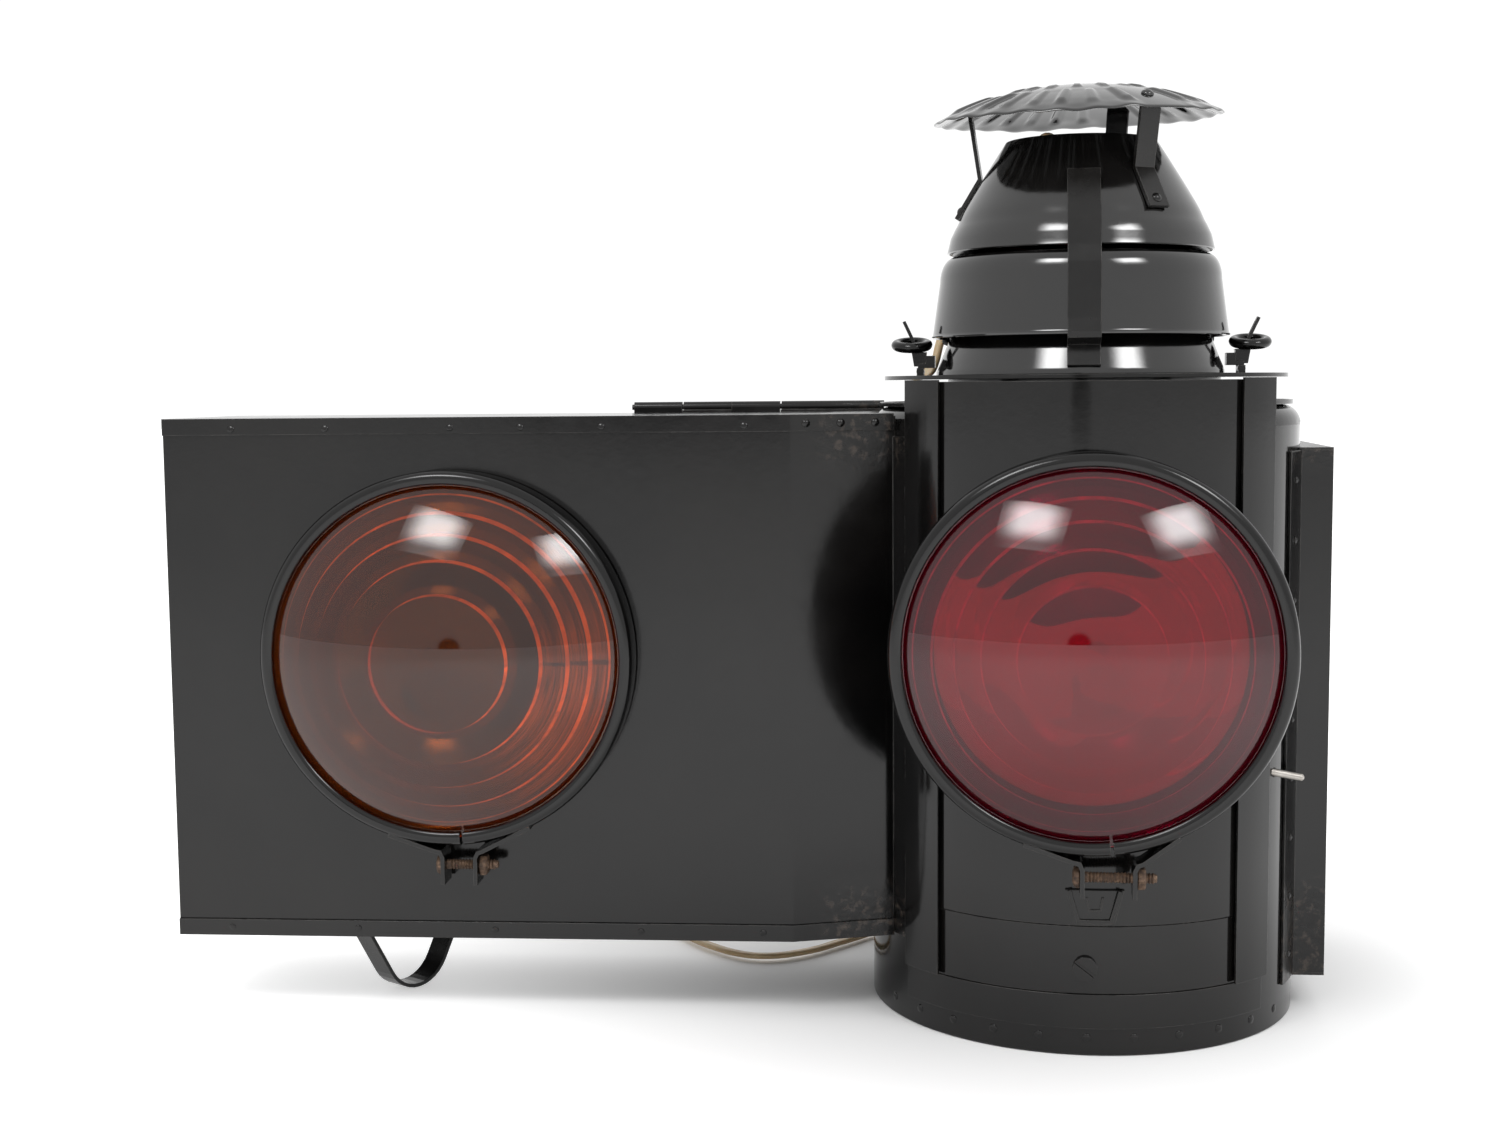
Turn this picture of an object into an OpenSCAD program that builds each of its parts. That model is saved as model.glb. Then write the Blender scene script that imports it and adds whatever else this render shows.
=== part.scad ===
// Railway signal lamp: a round sheet-metal body with a red lens on a sliding front door,
// a side wing with an amber lens, a rear hood with a red lens, and a smoke ventilator on top.
// The origin is on the body's axis at the ground, +Z is up and the red lens faces -Y.

/* [Body] */
// Outer radius of the round body
drum_r = 86; // [72:1:104]
// Height of the flat top of the body
drum_h = 244; // [204:1:292]
// Thickness of the sheet metal
sheet_t = 1; // [0.8:0.1:1.2]
// Radius of the body's rounded top edge
shoulder_r = 8; // [5:0.5:9.5]
// Radius of the flat lid on the body
lid_r = 83; // [76:1:100]

/* [Lenses] */
// Outer radius of the clamp bands
band_r = 73.8; // [61.5:0.1:75]
// Width of the clamp bands
band_w = 14; // [12:0.5:16]
// Height of the lens dome above its rim
dome_h = 22; // [18:0.5:26]
// Height of the red lens's axis
red_z = 154.3; // [140:0.1:160]
// Height of the amber lens's axis
amber_z = 147.3; // [140:0.1:150]
// Height of the rear lens's axis
rear_z = 132; // [125:1:135]
// Radius of the clamp bolts
bolt_r = 2.1; // [1.8:0.1:2.4]

/* [Door] */
// Half width of the door between the guide lips
guide_in = 56.7; // [50:0.1:60]
// Half width over the guides
guide_out = 69.9; // [66:0.1:71]
// Height of the door's lower edge
door_z0 = 50.2; // [46:0.1:60]
// How far the guides stand above the body's flat top
guide_rise = 10.4; // [8:0.1:14]

/* [Side wing] */
// Width of the wing's flat face
wing_w = 250; // [208:1:300]
// Depth of the wing from front to back
wing_d = 90; // [75:1:108]
// Height of the underside of the wing
wing_z0 = 32.5; // [26:0.5:40]
// Height of the top of the wing
wing_z1 = 241.6; // [225:0.1:243]
// Width of the panel that joins the wing to the body
neck_len = 42.7; // [36:0.1:52]
// Turn of the wing's face from the red lens's plane
wing_turn = 3.5; // [0:0.5:5]
// Turn of the joining panel from the red lens's plane
neck_turn = 20.4; // [16:0.1:26]
// Width of the folded hems
hem_w = 6.6; // [5:0.1:9]

/* [Rear hood] */
// How far the hood's rear face stands behind the round body
hood_out = 14; // [10:1:34]
// Half width of the hood
hood_half = 78.5; // [78:0.5:90]
// Height of the underside of the hood
hood_z0 = 13.7; // [10:0.1:20]
// Height of the top of the hood
hood_z1 = 226.8; // [215:0.1:232]

/* [Ventilator] */
// Offset of the ventilator's axis along X
vent_x = -1.7; // [-3:0.1:3]
// Radius of the flange plate under the ventilator
flange_r = 81; // [76:0.5:84]
// Radius of the skirt at its foot
skirt_r = 58; // [50:0.5:62]
// Radius of the bowl's lower rim
bowl_r = 59.6; // [57:0.1:64]
// Radius of the cone's lower rim
cone_r = 53.7; // [50:0.1:55]
// Radius of the cone's open top
cone_top_r = 29.7; // [24:0.1:34]
// Radius of the smoke cap
cap_r = 58.3; // [50:0.1:66]
// Sideways tilt of the smoke cap
cap_tilt = 1; // [0:0.1:4]
// Forward tilt of the smoke cap
cap_nod = 3.6; // [0:0.1:5]

/* [Hidden] */
$fn = 96;

paint = "#26282b";
bare = "#a7a59c";
run_gap = 0.3;
seat_gap = 0.15;
reach = 400;

// Lens stack, measured outwards from the plane that the glass rests on
seat_out = 12;
seat_off = 8.2;
band_front = 7.8;
band_t = 1.2;
band_lip = 5.3;
band_back = band_front - band_w;
collar_out = band_r - band_t - run_gap;
glass_r = collar_out - 1.3;
open_r = collar_out - 8;
rim_t = 5.5;
gasket_t = 1.5;
dome_r = band_r - band_lip - 0.5;
dome_ball = (dome_r * dome_r + dome_h * dome_h) / (2 * dome_h);
throat_r = 50;
zone_r = [0, 0.382, 0.566, 0.706, 0.824, 0.93];
zone_thick = 12;
zone_thin = 6;

// Clamp ears and their bolts
ear_t = 1.6;
ear_drop = 15.7;
ear_w = 12;
bolt_drop = 8.7;
ear_gap_red = 15.6;
ear_gap = 9.6;
head_r = 4.2;
head_h = 2.6;
nut_r = 4.4;
nut_h = 3.2;
bolt_tail = 9;

// Door, guides and lower panel
door_in_r = drum_r + 0.6;
door_out_r = door_in_r + sheet_t;
lip_in_r = door_out_r + 1;
lip_out_r = lip_in_r + sheet_t;
guide_z0 = 24;
guide_z1 = drum_h + guide_rise;
lip_a0 = acos(guide_out / lip_out_r);
lip_a1 = acos(guide_in / lip_out_r);
side_a = 1.1;
door_a = lip_a0 + side_a + 1;
panel_r = drum_r + seat_gap + sheet_t;
panel_gap = 0.4;
pan_r = drum_r - sheet_t - seat_gap;
screw_z = 33.8;
screw_x = -0.8;
screw_head_r = 4.7;
tab_w = 11;
tab_z1 = 64.2;
window_half = 46;
pin_y = -46;
pin_z = 104.2;
pin_r = 1.5;
pin_dip = 10;
pin_x0 = 58;
pin_out = 11.8;
pin_x1 = sqrt(drum_r * drum_r - pin_y * pin_y) + pin_out;

// Wing, in a frame whose origin is the bend between its face and the joining panel
meet_a = 210.6;
meet = drum_r * [cos(meet_a), sin(meet_a)];
bend = meet - neck_len * [cos(neck_turn), sin(neck_turn)];
neck_rel = neck_turn - wing_turn;
neck_end = neck_len * [cos(neck_rel), sin(neck_rel)];
amber_x = -0.54 * wing_w;
wing_port_r = 30;
hatch_x0 = -73;
hatch_x1 = 28;
hatch_z0 = 60;
hatch_lap = 6;
knuckle_r = 2.3;
rod_r = 1.2;
hinge_y = wing_d + run_gap + knuckle_r;
hinge_z = wing_z1 + knuckle_r;
knuckle_end = 36;
knuckle_len = 21.4;
mirror_half = 48;
mirror_h = 165;

// Strap loop under the wing
loop_x = -281.5;
loop_y = -28.5;
loop_turn = 59;
loop_w = 10.3;
loop_t = 1.5;
loop_bend = 16;
loop_flare = 60;
loop_foot = 9;

// Rear hood
hood_side = 11;
hood_y = drum_r + hood_out;
hood_right = drum_r + hood_side;
hood_x = hood_right - hood_half;
hood_left = hood_x - hood_half;
cheek_y = -20;
rear_port_r = 54;
cheek_a1 = -14;
cheek_flange = 18;
cheek_a0 = cheek_a1 - cheek_flange / drum_r * 180 / PI;

// Ventilator levels
neck_r = 55;
flange_t = 1.6;
flange_z = guide_z1 + 0.2;
vent_z = flange_z + flange_t;
skirt_h = 24;
skirt_foot = 1.5;
skirt_top_r = skirt_r - 9;
bowl_z = vent_z + 15.7;
bowl_h = 32;
bowl_side = 22;
bowl_draft = 3;
bowl_round = 5.4;
bowl_steps = [0, 11, 22, 24.5, 27, 29, 30.7, 31.7, 32];
bowl_neck_r = 46;
cone_z = bowl_z + 33.7;
cone_band = 9.5;
band_slope = 2.2;
cone_swell = 0.06;
cone_h = 45;
strap_w = 12.7;
strap_t = 1.2;
cap_x = -3;
cap_z = cone_z + cone_h + 9;
cap_h = 13.4;
cap_ball = (cap_r * cap_r + cap_h * cap_h) / (2 * cap_h);
cap_strap_w = 9.3;
cap_strap_t = 1.5;
vent_strap_a = [-90, 30, 150];
cap_strap_a = [-55, 68, 176];
cap_foot = cone_z + 14;
cap_knee = cone_z + 30;
cap_seat = 45.3;

// Ring catches beside the ventilator, measured outwards from its axis
catch_in = skirt_r + 0.6;
catch_w = 7;
catch_foot = catch_in + 6;
catch_axis_z = vent_z + 1.9;
catch_pin_r = 0.8;
catch_eye_r = 1.6;
ring_mid = 6.4;
ring_wire = 2.1;
ring_u = catch_in + 9.6;
ring_z = vent_z + 12.8;
ring_tip = 12;
clip_h = 5.8;

// Lamp holder and bulb hanging inside the body
socket_top = drum_h - 2;
bridge_z = drum_h - 4.5;
stud_r = 5;
bulb_r = 21;

// Flexible lead
cord_r = 2.1;
cord_sides = 8;
ground = cord_r + 0.1;
CORD_ROUTE = [
    [0, 0, 242], [0, 0, 262], [-1, 1, 284], [-3, 4, 306], [-6, 9, 328], [-9, 16, 344],
    [-12, 24, 353.5], [-16, 32, 355.5], [-21, 39, 350], [-26, 45, 338], [-30.5, 50, 324],
    [-35.5, 52.5, 309], [-43, 51, 297], [-51.5, 46, 287], [-57, 41, 278], [-60, 39, 270],
    [-61.6, 40.5, 263.5], [-63.6, 45, 259.4], [-66.6, 50, 258], [-69.4, 54.5, 255],
    [-71.6, 58, 249], [-73, 61, 240], [-74.2, 63, 222], [-75, 64, 190], [-76, 65, 140],
    [-77, 66, 90],
    [-78, 69, 50], [-79.5, 71.5, 26], [-83, 71.5, 12], [-88, 67.5, 4], [-94, 60.5, ground],
    [-100, 52, ground], [-107, 43, ground], [-114, 34, ground], [-122, 27, ground],
    [-131, 22, ground], [-141, 21, ground], [-151, 25, ground], [-160, 32, ground],
    [-169, 41, ground], [-177, 52, ground], [-184, 64, ground], [-187.6, 78, ground],
    [-188.8, 88, ground], [-189.4, 97, ground]
];
coil_at = [-224, 98];
coil_in = 17.8;
coil_out = 32.2;
coil_z0 = 0.8;
coil_z1 = 10;
tie_w = 3;
tie_t = 0.6;
plug_x = coil_at[0] - 39.6;
plug_y = coil_at[1] + 14;

function unit(v) = v / norm(v);
function left_of(v) = [-v[1], v[0]];
// The point beside corner i of a path, d to its left, mitred between the two runs
function beside(p, i, d) =
    let (last = len(p) - 1)
    let (a = left_of(unit(i > 0 ? p[i] - p[i - 1] : p[1] - p[0])))
    let (b = left_of(unit(i < last ? p[i + 1] - p[i] : p[last] - p[last - 1])))
    let (m = unit(a + b))
    p[i] + m * d / (m * a);
// The outline of a strip of thickness d to the left of a path
function ribbon(p, d) = concat(p, [for (i = [len(p) - 1:-1:0]) beside(p, i, d)]);
function arc_points(centre, r, a0, a1, steps) =
    [for (i = [0:steps]) centre + r * [cos(a0 + (a1 - a0) * i / steps), sin(a0 + (a1 - a0) * i / steps)]];

// Height of the dome above the seat plane at a radius
function dome_at(r) = rim_t + dome_h - dome_ball + sqrt(dome_ball * dome_ball - r * r);
function cone_at(z) =
    let (t = (z - cone_band) / (cone_h - cone_band))
    t < 0 ? cone_r - band_slope * z / cone_band
    : cone_r - band_slope - (cone_r - band_slope - cone_top_r) * t * (1 - cone_swell + cone_swell * t);
function bowl_at(z) =
    z < bowl_side ? bowl_r - bowl_draft * z / bowl_side
    : bowl_r - bowl_draft - bowl_round * (1 - sqrt(1 - pow((z - bowl_side) / (bowl_h - bowl_side), 2)));
function skirt_at(z) = skirt_r - (skirt_r - skirt_top_r) * (z - skirt_foot) / (skirt_h - skirt_foot);

module curved_sheet(r, t, z0, z1, a0, a1) {
    translate([0, 0, z0])
        rotate([0, 0, a0])
            rotate_extrude(angle = a1 - a0)
                translate([r, 0]) square([t, z1 - z0]);
}
module tube(r_in, r_out, z0, z1) {
    translate([0, 0, z0]) difference() {
        cylinder(r = r_out, h = z1 - z0);
        translate([0, 0, -1]) cylinder(r = r_in, h = z1 - z0 + 2);
    }
}
module drum_space(grow = 0) { translate([0, 0, -10]) cylinder(r = drum_r + grow, h = reach); }
module along_y(y0, y1, r) { translate([0, y1, 0]) rotate([90, 0, 0]) cylinder(r = r, h = y1 - y0); }
module rivet_head(r, h) {
    ball = (r * r + h * h) / (2 * h);
    intersection() {
        translate([0, 0, h - ball]) sphere(r = ball);
        cylinder(r = 2 * r, h = 2 * h);
    }
}

// Frames of the three lenses: local +Z points out of the glass, local +Y is up
module at_red() { translate([0, -(drum_r + seat_out), red_z]) rotate([90, 0, 0]) children(); }
module in_wing() { translate([bend[0], bend[1], 0]) rotate([0, 0, wing_turn]) children(); }
module at_amber() { in_wing() translate([amber_x, -seat_off, amber_z]) rotate([90, 0, 0]) children(); }
module at_rear() {
    translate([hood_x, hood_y + seat_off, rear_z]) rotate([0, 0, 180]) rotate([90, 0, 0]) children();
}
module in_loop() { translate([loop_x, loop_y, 0]) rotate([0, 0, loop_turn]) children(); }
module in_vent() { translate([vent_x, 0, 0]) children(); }
module about_vent(a) { in_vent() rotate([0, 0, a]) children(); }

// Round body
module drum_shell() {
    color(paint) difference() {
        rotate_extrude() {
            translate([drum_r - sheet_t, 0]) square([sheet_t, drum_h - shoulder_r]);
            translate([drum_r - shoulder_r, drum_h - shoulder_r]) intersection() {
                difference() {
                    circle(r = shoulder_r);
                    circle(r = shoulder_r - sheet_t);
                }
                square(shoulder_r);
            }
            translate([neck_r + 6, drum_h - sheet_t])
                square([drum_r - shoulder_r - neck_r - 6, sheet_t]);
        }
        translate([-window_half, -reach, door_z0 + 12])
            cube([2 * window_half, reach, drum_h - shoulder_r - door_z0 - 22]);
        translate([0, 0, rear_z]) rotate([-90, 0, 0]) cylinder(r = rear_port_r, h = reach);
        rotate([0, 0, wing_turn]) translate([0, 0, amber_z]) rotate([0, -90, 0])
            cylinder(r = wing_port_r, h = reach);
        in_pin() cylinder(r = pin_r + run_gap, h = 60);
        translate([screw_x, 0, screw_z]) rotate([90, 0, 0]) cylinder(r = 2.6, h = reach);
    }
}
module drum_lid() {
    color(paint) {
        tube(neck_r, lid_r, drum_h, drum_h + 1.2);
        tube(lid_r - 1.2, lid_r, drum_h + 1.2, drum_h + 1.7);
    }
}
module base_pan() {
    color(paint) {
        tube(pan_r - sheet_t, pan_r, 0, 11);
        cylinder(r = pan_r - sheet_t / 2, h = sheet_t);
    }
}
module base_band() {
    color(paint) curved_sheet(drum_r + seat_gap, 1.3, 10.5, guide_z0 - 0.3, -142, -39);
}

// Front door, its guides and the panel below it
module guide(a0, a1, a2) {
    curved_sheet(lip_in_r, sheet_t, guide_z0, guide_z1, min(a0, a2), max(a0, a2));
    curved_sheet(drum_r + seat_gap, lip_in_r - drum_r, guide_z0, guide_z1, min(a0, a1), max(a0, a1));
}
module guide_left() { color(paint) guide(180 + lip_a0, 180 + lip_a0 + side_a, 180 + lip_a1); }
module guide_right() { color(paint) guide(-lip_a0, -lip_a0 - side_a, -lip_a1); }
module door_panel() {
    color(paint) difference() {
        curved_sheet(door_in_r, sheet_t, door_z0, guide_z1 - 0.7, 180 + door_a, 360 - door_a);
        at_red() translate([0, 0, -60]) cylinder(r = throat_r, h = 120);
    }
}
module door_tab() {
    color(paint) intersection() {
        curved_sheet(door_out_r + seat_gap, 1.4, door_z0 - 5, tab_z1 + 5, 250, 290);
        translate([2.6, 0, 0]) rotate([90, 0, 0]) linear_extrude(height = reach)
            polygon([[-tab_w, tab_z1], [-tab_w + 3.5, door_z0 + 0.8], [tab_w - 3.5, door_z0 + 0.8],
                [tab_w, tab_z1]]);
    }
}
module access_panel() {
    color(paint) difference() {
        curved_sheet(drum_r + seat_gap, sheet_t, guide_z0, door_z0 - panel_gap, 180 + door_a, 360 - door_a);
        translate([screw_x, 0, screw_z]) rotate([90, 0, 0]) cylinder(r = 2.6, h = reach);
    }
}
module access_screw() {
    color(paint) translate([screw_x, -panel_r, screw_z]) rotate([90, 0, 0]) difference() {
        union() {
            translate([0, 0, 0.1]) cylinder(r = screw_head_r, h = 1.7);
            translate([0, 0, -9]) cylinder(r = 2.4, h = 9.2);
        }
        rotate([0, 0, -38]) translate([-10, -0.6, 0.9]) cube([20, 1.2, 5]);
    }
}
module in_pin() { translate([pin_x0, pin_y, pin_z]) rotate([0, 90 + pin_dip, 0]) children(); }
module lock_pin() {
    color(bare) in_pin() {
        cylinder(r = 3.4, h = 2);
        cylinder(r = pin_r, h = pin_x1 - pin_x0 - pin_r);
        translate([0, 0, pin_x1 - pin_x0 - pin_r]) sphere(r = pin_r);
    }
}

// Pieces that all three lenses share, in the lens's own frame
module lens_glass(tint) {
    color(tint) difference() {
        union() {
            cylinder(r = glass_r, h = rim_t);
            intersection() {
                translate([0, 0, rim_t + dome_h - dome_ball]) sphere(r = dome_ball);
                translate([0, 0, rim_t]) cylinder(r = dome_r, h = dome_h + 1);
            }
        }
        rotate_extrude() polygon(concat(
            [[0, -1], [zone_r[5] * dome_r, -1]],
            [for (i = [4:-1:0]) each [
                [zone_r[i + 1] * dome_r, dome_at(zone_r[i + 1] * dome_r) - zone_thin],
                [zone_r[i] * dome_r, dome_at(zone_r[i] * dome_r) - zone_thick + (i == 0 ? 1.5 : 0)]
            ]]));
    }
}
module lens_gasket() { color("#1b1b1b") tube(open_r + 1, glass_r, -gasket_t, 0); }
module band_ear(outline) {
    translate([0, 0, band_front - 1 - ear_w]) linear_extrude(height = ear_w) polygon(outline);
}
module lens_band(gap) {
    low = -band_r - 2.8;
    end = low - ear_drop + 2.8;
    ear_r = band_r - band_t + ear_t + 0.4;
    color(paint) difference() {
        union() {
            tube(band_r - band_t, band_r, band_back, band_front);
            tube(band_r - band_lip, band_r - band_t, band_front - 1, band_front);
            band_ear(ribbon([ear_r * [cos(-109), sin(-109)], [-3.4, low], [-3.4, end]], ear_t));
            band_ear(ribbon([[gap + ear_t, end], [gap + ear_t, low], ear_r * [cos(-64), sin(-64)]], ear_t));
        }
        translate([-20, -band_r - bolt_drop, band_front - 1 - ear_w / 2])
            rotate([0, 90, 0]) cylinder(r = bolt_r + run_gap, h = 60);
        translate([gap / 2, -band_r - 5, band_back - 1]) cube([1.2, 12, band_w + 2]);
    }
}
module at_bolt(x) {
    translate([x, -band_r - bolt_drop, band_front - 1 - ear_w / 2]) rotate([0, 90, 0]) children();
}
module clamp_bolt(gap) {
    color("#3a3128") at_bolt(-3.5) {
        translate([0, 0, -head_h]) cylinder(r = head_r, h = head_h);
        cylinder(r = bolt_r, h = gap + 3.5 + bolt_tail);
    }
}
module clamp_nut(gap) {
    color("#4a3a2b") at_bolt(gap + ear_t + 0.05) difference() {
        cylinder(r = nut_r, h = nut_h, $fn = 6);
        translate([0, 0, -1]) cylinder(r = bolt_r + 0.05, h = nut_h + 2);
    }
}
module flat_collar() {
    color(paint) {
        tube(collar_out - sheet_t, collar_out, -seat_off, -gasket_t);
        tube(open_r, collar_out - sheet_t, -gasket_t - sheet_t, -gasket_t);
    }
}

module red_collar() {
    back = -(seat_out - 3);
    color(paint) difference() {
        at_red() {
            tube(collar_out - sheet_t, collar_out, back, -gasket_t);
            tube(open_r, collar_out - sheet_t, -gasket_t - sheet_t, -gasket_t);
            tube(throat_r, collar_out - sheet_t, back, back + sheet_t);
            tube(throat_r, throat_r + sheet_t, -60, back + sheet_t);
        }
        translate([0, 0, -10]) cylinder(r = door_out_r + seat_gap, h = reach);
    }
}
module red_gasket() { at_red() lens_gasket(); }
module red_lens() { at_red() lens_glass("#8e1226"); }
module red_band() { at_red() lens_band(ear_gap_red); }
module red_bolt() { at_red() clamp_bolt(ear_gap_red); }
module red_nut() { at_red() clamp_nut(ear_gap_red); }
module amber_collar() { at_amber() flat_collar(); }
module amber_gasket() { at_amber() lens_gasket(); }
module amber_lens() { at_amber() lens_glass("#b4561c"); }
module amber_band() { at_amber() lens_band(ear_gap); }
module rear_collar() { at_rear() flat_collar(); }
module rear_gasket() { at_rear() lens_gasket(); }
module rear_lens() { at_rear() lens_glass("#8e1226"); }
module rear_band() { at_rear() lens_band(ear_gap); }
module clamp_bolts() { at_amber() clamp_bolt(ear_gap); at_rear() clamp_bolt(ear_gap); }
module clamp_nuts() { at_amber() clamp_nut(ear_gap); at_rear() clamp_nut(ear_gap); }

// Side wing
module wing_front() {
    color(paint) {
        difference() {
            in_wing() difference() {
                translate([0, 0, wing_z0 + sheet_t]) linear_extrude(height = wing_z1 - wing_z0 - 2 * sheet_t)
                    polygon(ribbon([[-wing_w, wing_d - sheet_t], [-wing_w, 0], [0, 0], neck_end], sheet_t));
                translate([amber_x, 0, amber_z]) along_y(-5, 5, open_r);
            }
            drum_space(seat_gap);
        }
        curved_sheet(drum_r + seat_gap, sheet_t, wing_z0 + sheet_t, wing_z1 - sheet_t - shoulder_r,
            meet_a - 1, meet_a + 6.5);
    }
}
module wing_plan() {
    polygon([[-wing_w, 0], [0, 0], neck_end, neck_end + [20, 10], [60, wing_d], [-wing_w, wing_d]]);
}
module wing_sheet(z, hem_z) {
    difference() {
        in_wing() {
            translate([0, 0, z]) linear_extrude(height = sheet_t) wing_plan();
            translate([0, 0, hem_z]) linear_extrude(height = hem_w)
                polygon(ribbon([[-wing_w, 0], [0, 0], neck_end], -sheet_t));
        }
        drum_space(sheet_t + 2 * seat_gap);
    }
}
module fixed_knuckle(x0, x1) {
    translate([x0, hinge_y, hinge_z]) rotate([0, 90, 0]) cylinder(r = knuckle_r, h = x1 - x0);
    translate([x0, hinge_y - 9, wing_z1]) cube([x1 - x0, 9, sheet_t]);
}
module wing_top() {
    color(paint) {
        wing_sheet(wing_z1 - sheet_t, wing_z1 - hem_w);
        in_wing() difference() {
            union() {
                fixed_knuckle(hatch_x0 + knuckle_len + 0.3, hatch_x0 + 2 * knuckle_len);
                fixed_knuckle(hatch_x0 + 3 * knuckle_len + 0.3, knuckle_end);
            }
            translate([hatch_x0 - 5, hinge_y, hinge_z]) rotate([0, 90, 0])
                cylinder(r = rod_r + 0.05, h = 160);
        }
    }
}
module wing_bottom() { color(paint) wing_sheet(wing_z0, wing_z0); }
module wing_back() {
    color(paint) difference() {
        in_wing() translate([-wing_w, wing_d - sheet_t, wing_z0 + sheet_t])
            cube([wing_w + 60, sheet_t, wing_z1 - wing_z0 - 2 * sheet_t]);
        in_wing() translate([hatch_x0 + hatch_lap, wing_d - 20, hatch_z0 + hatch_lap])
            cube([hatch_x1 - hatch_x0 - 2 * hatch_lap, 40, wing_z1 - hatch_z0 - 2 * hatch_lap - 4]);
        drum_space(seat_gap);
    }
}
module wing_door() {
    leaf_y = wing_d + run_gap;
    color(paint) in_wing() difference() {
        union() {
            translate([hatch_x0, leaf_y, hatch_z0])
                cube([hatch_x1 - hatch_x0, sheet_t, wing_z1 - 0.4 - hatch_z0]);
            for (k = [0, 2]) translate([hatch_x0 + k * knuckle_len, 0, 0]) {
                translate([0, hinge_y, hinge_z]) rotate([0, 90, 0])
                    cylinder(r = knuckle_r, h = knuckle_len - 0.3);
                translate([0, leaf_y, wing_z1 - 2]) cube([knuckle_len - 0.3, sheet_t, knuckle_r + 2]);
            }
            translate([-26, leaf_y + sheet_t, hatch_z0 + 8]) cube([12, 8, sheet_t]);
        }
        translate([hatch_x0 - 5, hinge_y, hinge_z]) rotate([0, 90, 0])
            cylinder(r = rod_r + 0.05, h = 160);
    }
}
module wing_hinge_rod() {
    color(bare) in_wing() translate([hatch_x0 - 1, hinge_y, hinge_z]) rotate([0, 90, 0])
        cylinder(r = rod_r, h = knuckle_end + 1 - hatch_x0);
}
module wing_mirror() {
    color("#c9ccce") in_wing() translate([amber_x, wing_d / 2, wing_z0 + sheet_t]) rotate([0, 0, 45])
        translate([-mirror_half, -1, 0]) cube([2 * mirror_half, 2, mirror_h]);
}
module strap_loop() {
    bow = arc_points([0, loop_bend + loop_t], loop_bend, -90 - loop_flare, -90 + loop_flare, 12);
    side_x = loop_bend * sin(loop_flare)
        + (wing_z0 - loop_t - loop_bend * (1 - cos(loop_flare))) / tan(loop_flare);
    path = concat([[-side_x - loop_foot, wing_z0], [-side_x, wing_z0]], bow,
        [[side_x, wing_z0], [side_x + loop_foot, wing_z0]]);
    color(paint) in_loop() intersection() {
        translate([0, loop_w / 2, 0]) rotate([90, 0, 0]) linear_extrude(height = loop_w)
            polygon(ribbon(path, -loop_t));
        translate([-60, -60, 0]) cube([120, 120, wing_z0]);
    }
}

// Rear hood
module rear_hood() {
    path = [
        [drum_r * cos(cheek_a1), drum_r * sin(cheek_a1)] + [0.2, 0], [hood_right, cheek_y],
        [hood_right, hood_y], [hood_left, hood_y], [hood_left, 0.5 * drum_r]
    ];
    color(paint) {
        difference() {
            translate([0, 0, hood_z0 + sheet_t]) linear_extrude(height = hood_z1 - hood_z0 - 2 * sheet_t)
                polygon(ribbon(path, sheet_t));
            translate([hood_x, 0, rear_z]) along_y(hood_y - 5, hood_y + 5, open_r);
            drum_space(seat_gap);
        }
        curved_sheet(drum_r + seat_gap, sheet_t, hood_z0 + sheet_t, hood_z1 - sheet_t, cheek_a0, cheek_a1 + 1);
    }
}
module rear_hood_caps() {
    color(paint) for (z = [hood_z0, hood_z1 - sheet_t]) difference() {
        translate([0, 0, z]) linear_extrude(height = sheet_t)
            polygon([[hood_left, 0.5 * drum_r], [0, 0], [drum_r * cos(cheek_a1), drum_r * sin(cheek_a1)],
                [hood_right, cheek_y], [hood_right, hood_y], [hood_left, hood_y]]);
        drum_space(seat_gap);
    }
}

// Ventilator
module neck_tube() { color(paint) tube(neck_r - sheet_t, neck_r, drum_h - 6, flange_z); }
module flange_plate() { color(paint) tube(neck_r - 5, flange_r, flange_z, vent_z); }
module turned(path, t) { rotate_extrude() polygon(ribbon(path, t)); }
module vent_skirt() {
    color(paint) in_vent() translate([0, 0, vent_z])
        turned([[skirt_r, 0], [skirt_r, skirt_foot], [skirt_top_r, skirt_h], [skirt_top_r - 6, skirt_h]], sheet_t);
}
module vent_bowl() {
    wall = [for (z = bowl_steps) [bowl_at(z), z]];
    color(paint) in_vent() translate([0, 0, bowl_z]) {
        turned(concat([[bowl_r + 0.5, -0.6]], wall, [[bowl_neck_r, bowl_h + 0.4]]), sheet_t);
    }
}
module vent_cone() {
    color(paint) in_vent() translate([0, 0, cone_z])
        turned(concat([[cone_r, 0]], [for (i = [0:6]) let (z = cone_band + i * (cone_h - cone_band) / 6)
            [cone_at(z), z]]), sheet_t);
}
module vent_straps() {
    path = concat(
        [[skirt_at(3) + 0.2, vent_z + 3], [skirt_at(12) + 0.2, vent_z + 12],
            [bowl_r + 0.8, bowl_z - 1.2], [bowl_r + 0.9, bowl_z + 0.3]],
        [for (i = [1:5]) [bowl_at(i * bowl_h / 6) + 0.33, bowl_z + i * bowl_h / 6]],
        [[cone_r + 0.2, cone_z - 0.5], [cone_at(cone_band) + 0.3, cone_z + cone_band + 0.2],
            [cone_at(19) + 0.2, cone_z + 19], [cone_at(29) + 0.2, cone_z + 29]]);
    color(paint) for (a = vent_strap_a) about_vent(a)
        translate([0, strap_w / 2, 0]) rotate([90, 0, 0]) linear_extrude(height = strap_w)
            polygon(ribbon(path, -strap_t));
}
module in_cap() { translate([cap_x, 0, cap_z]) rotate([cap_nod, -cap_tilt, 0]) children(); }
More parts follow.
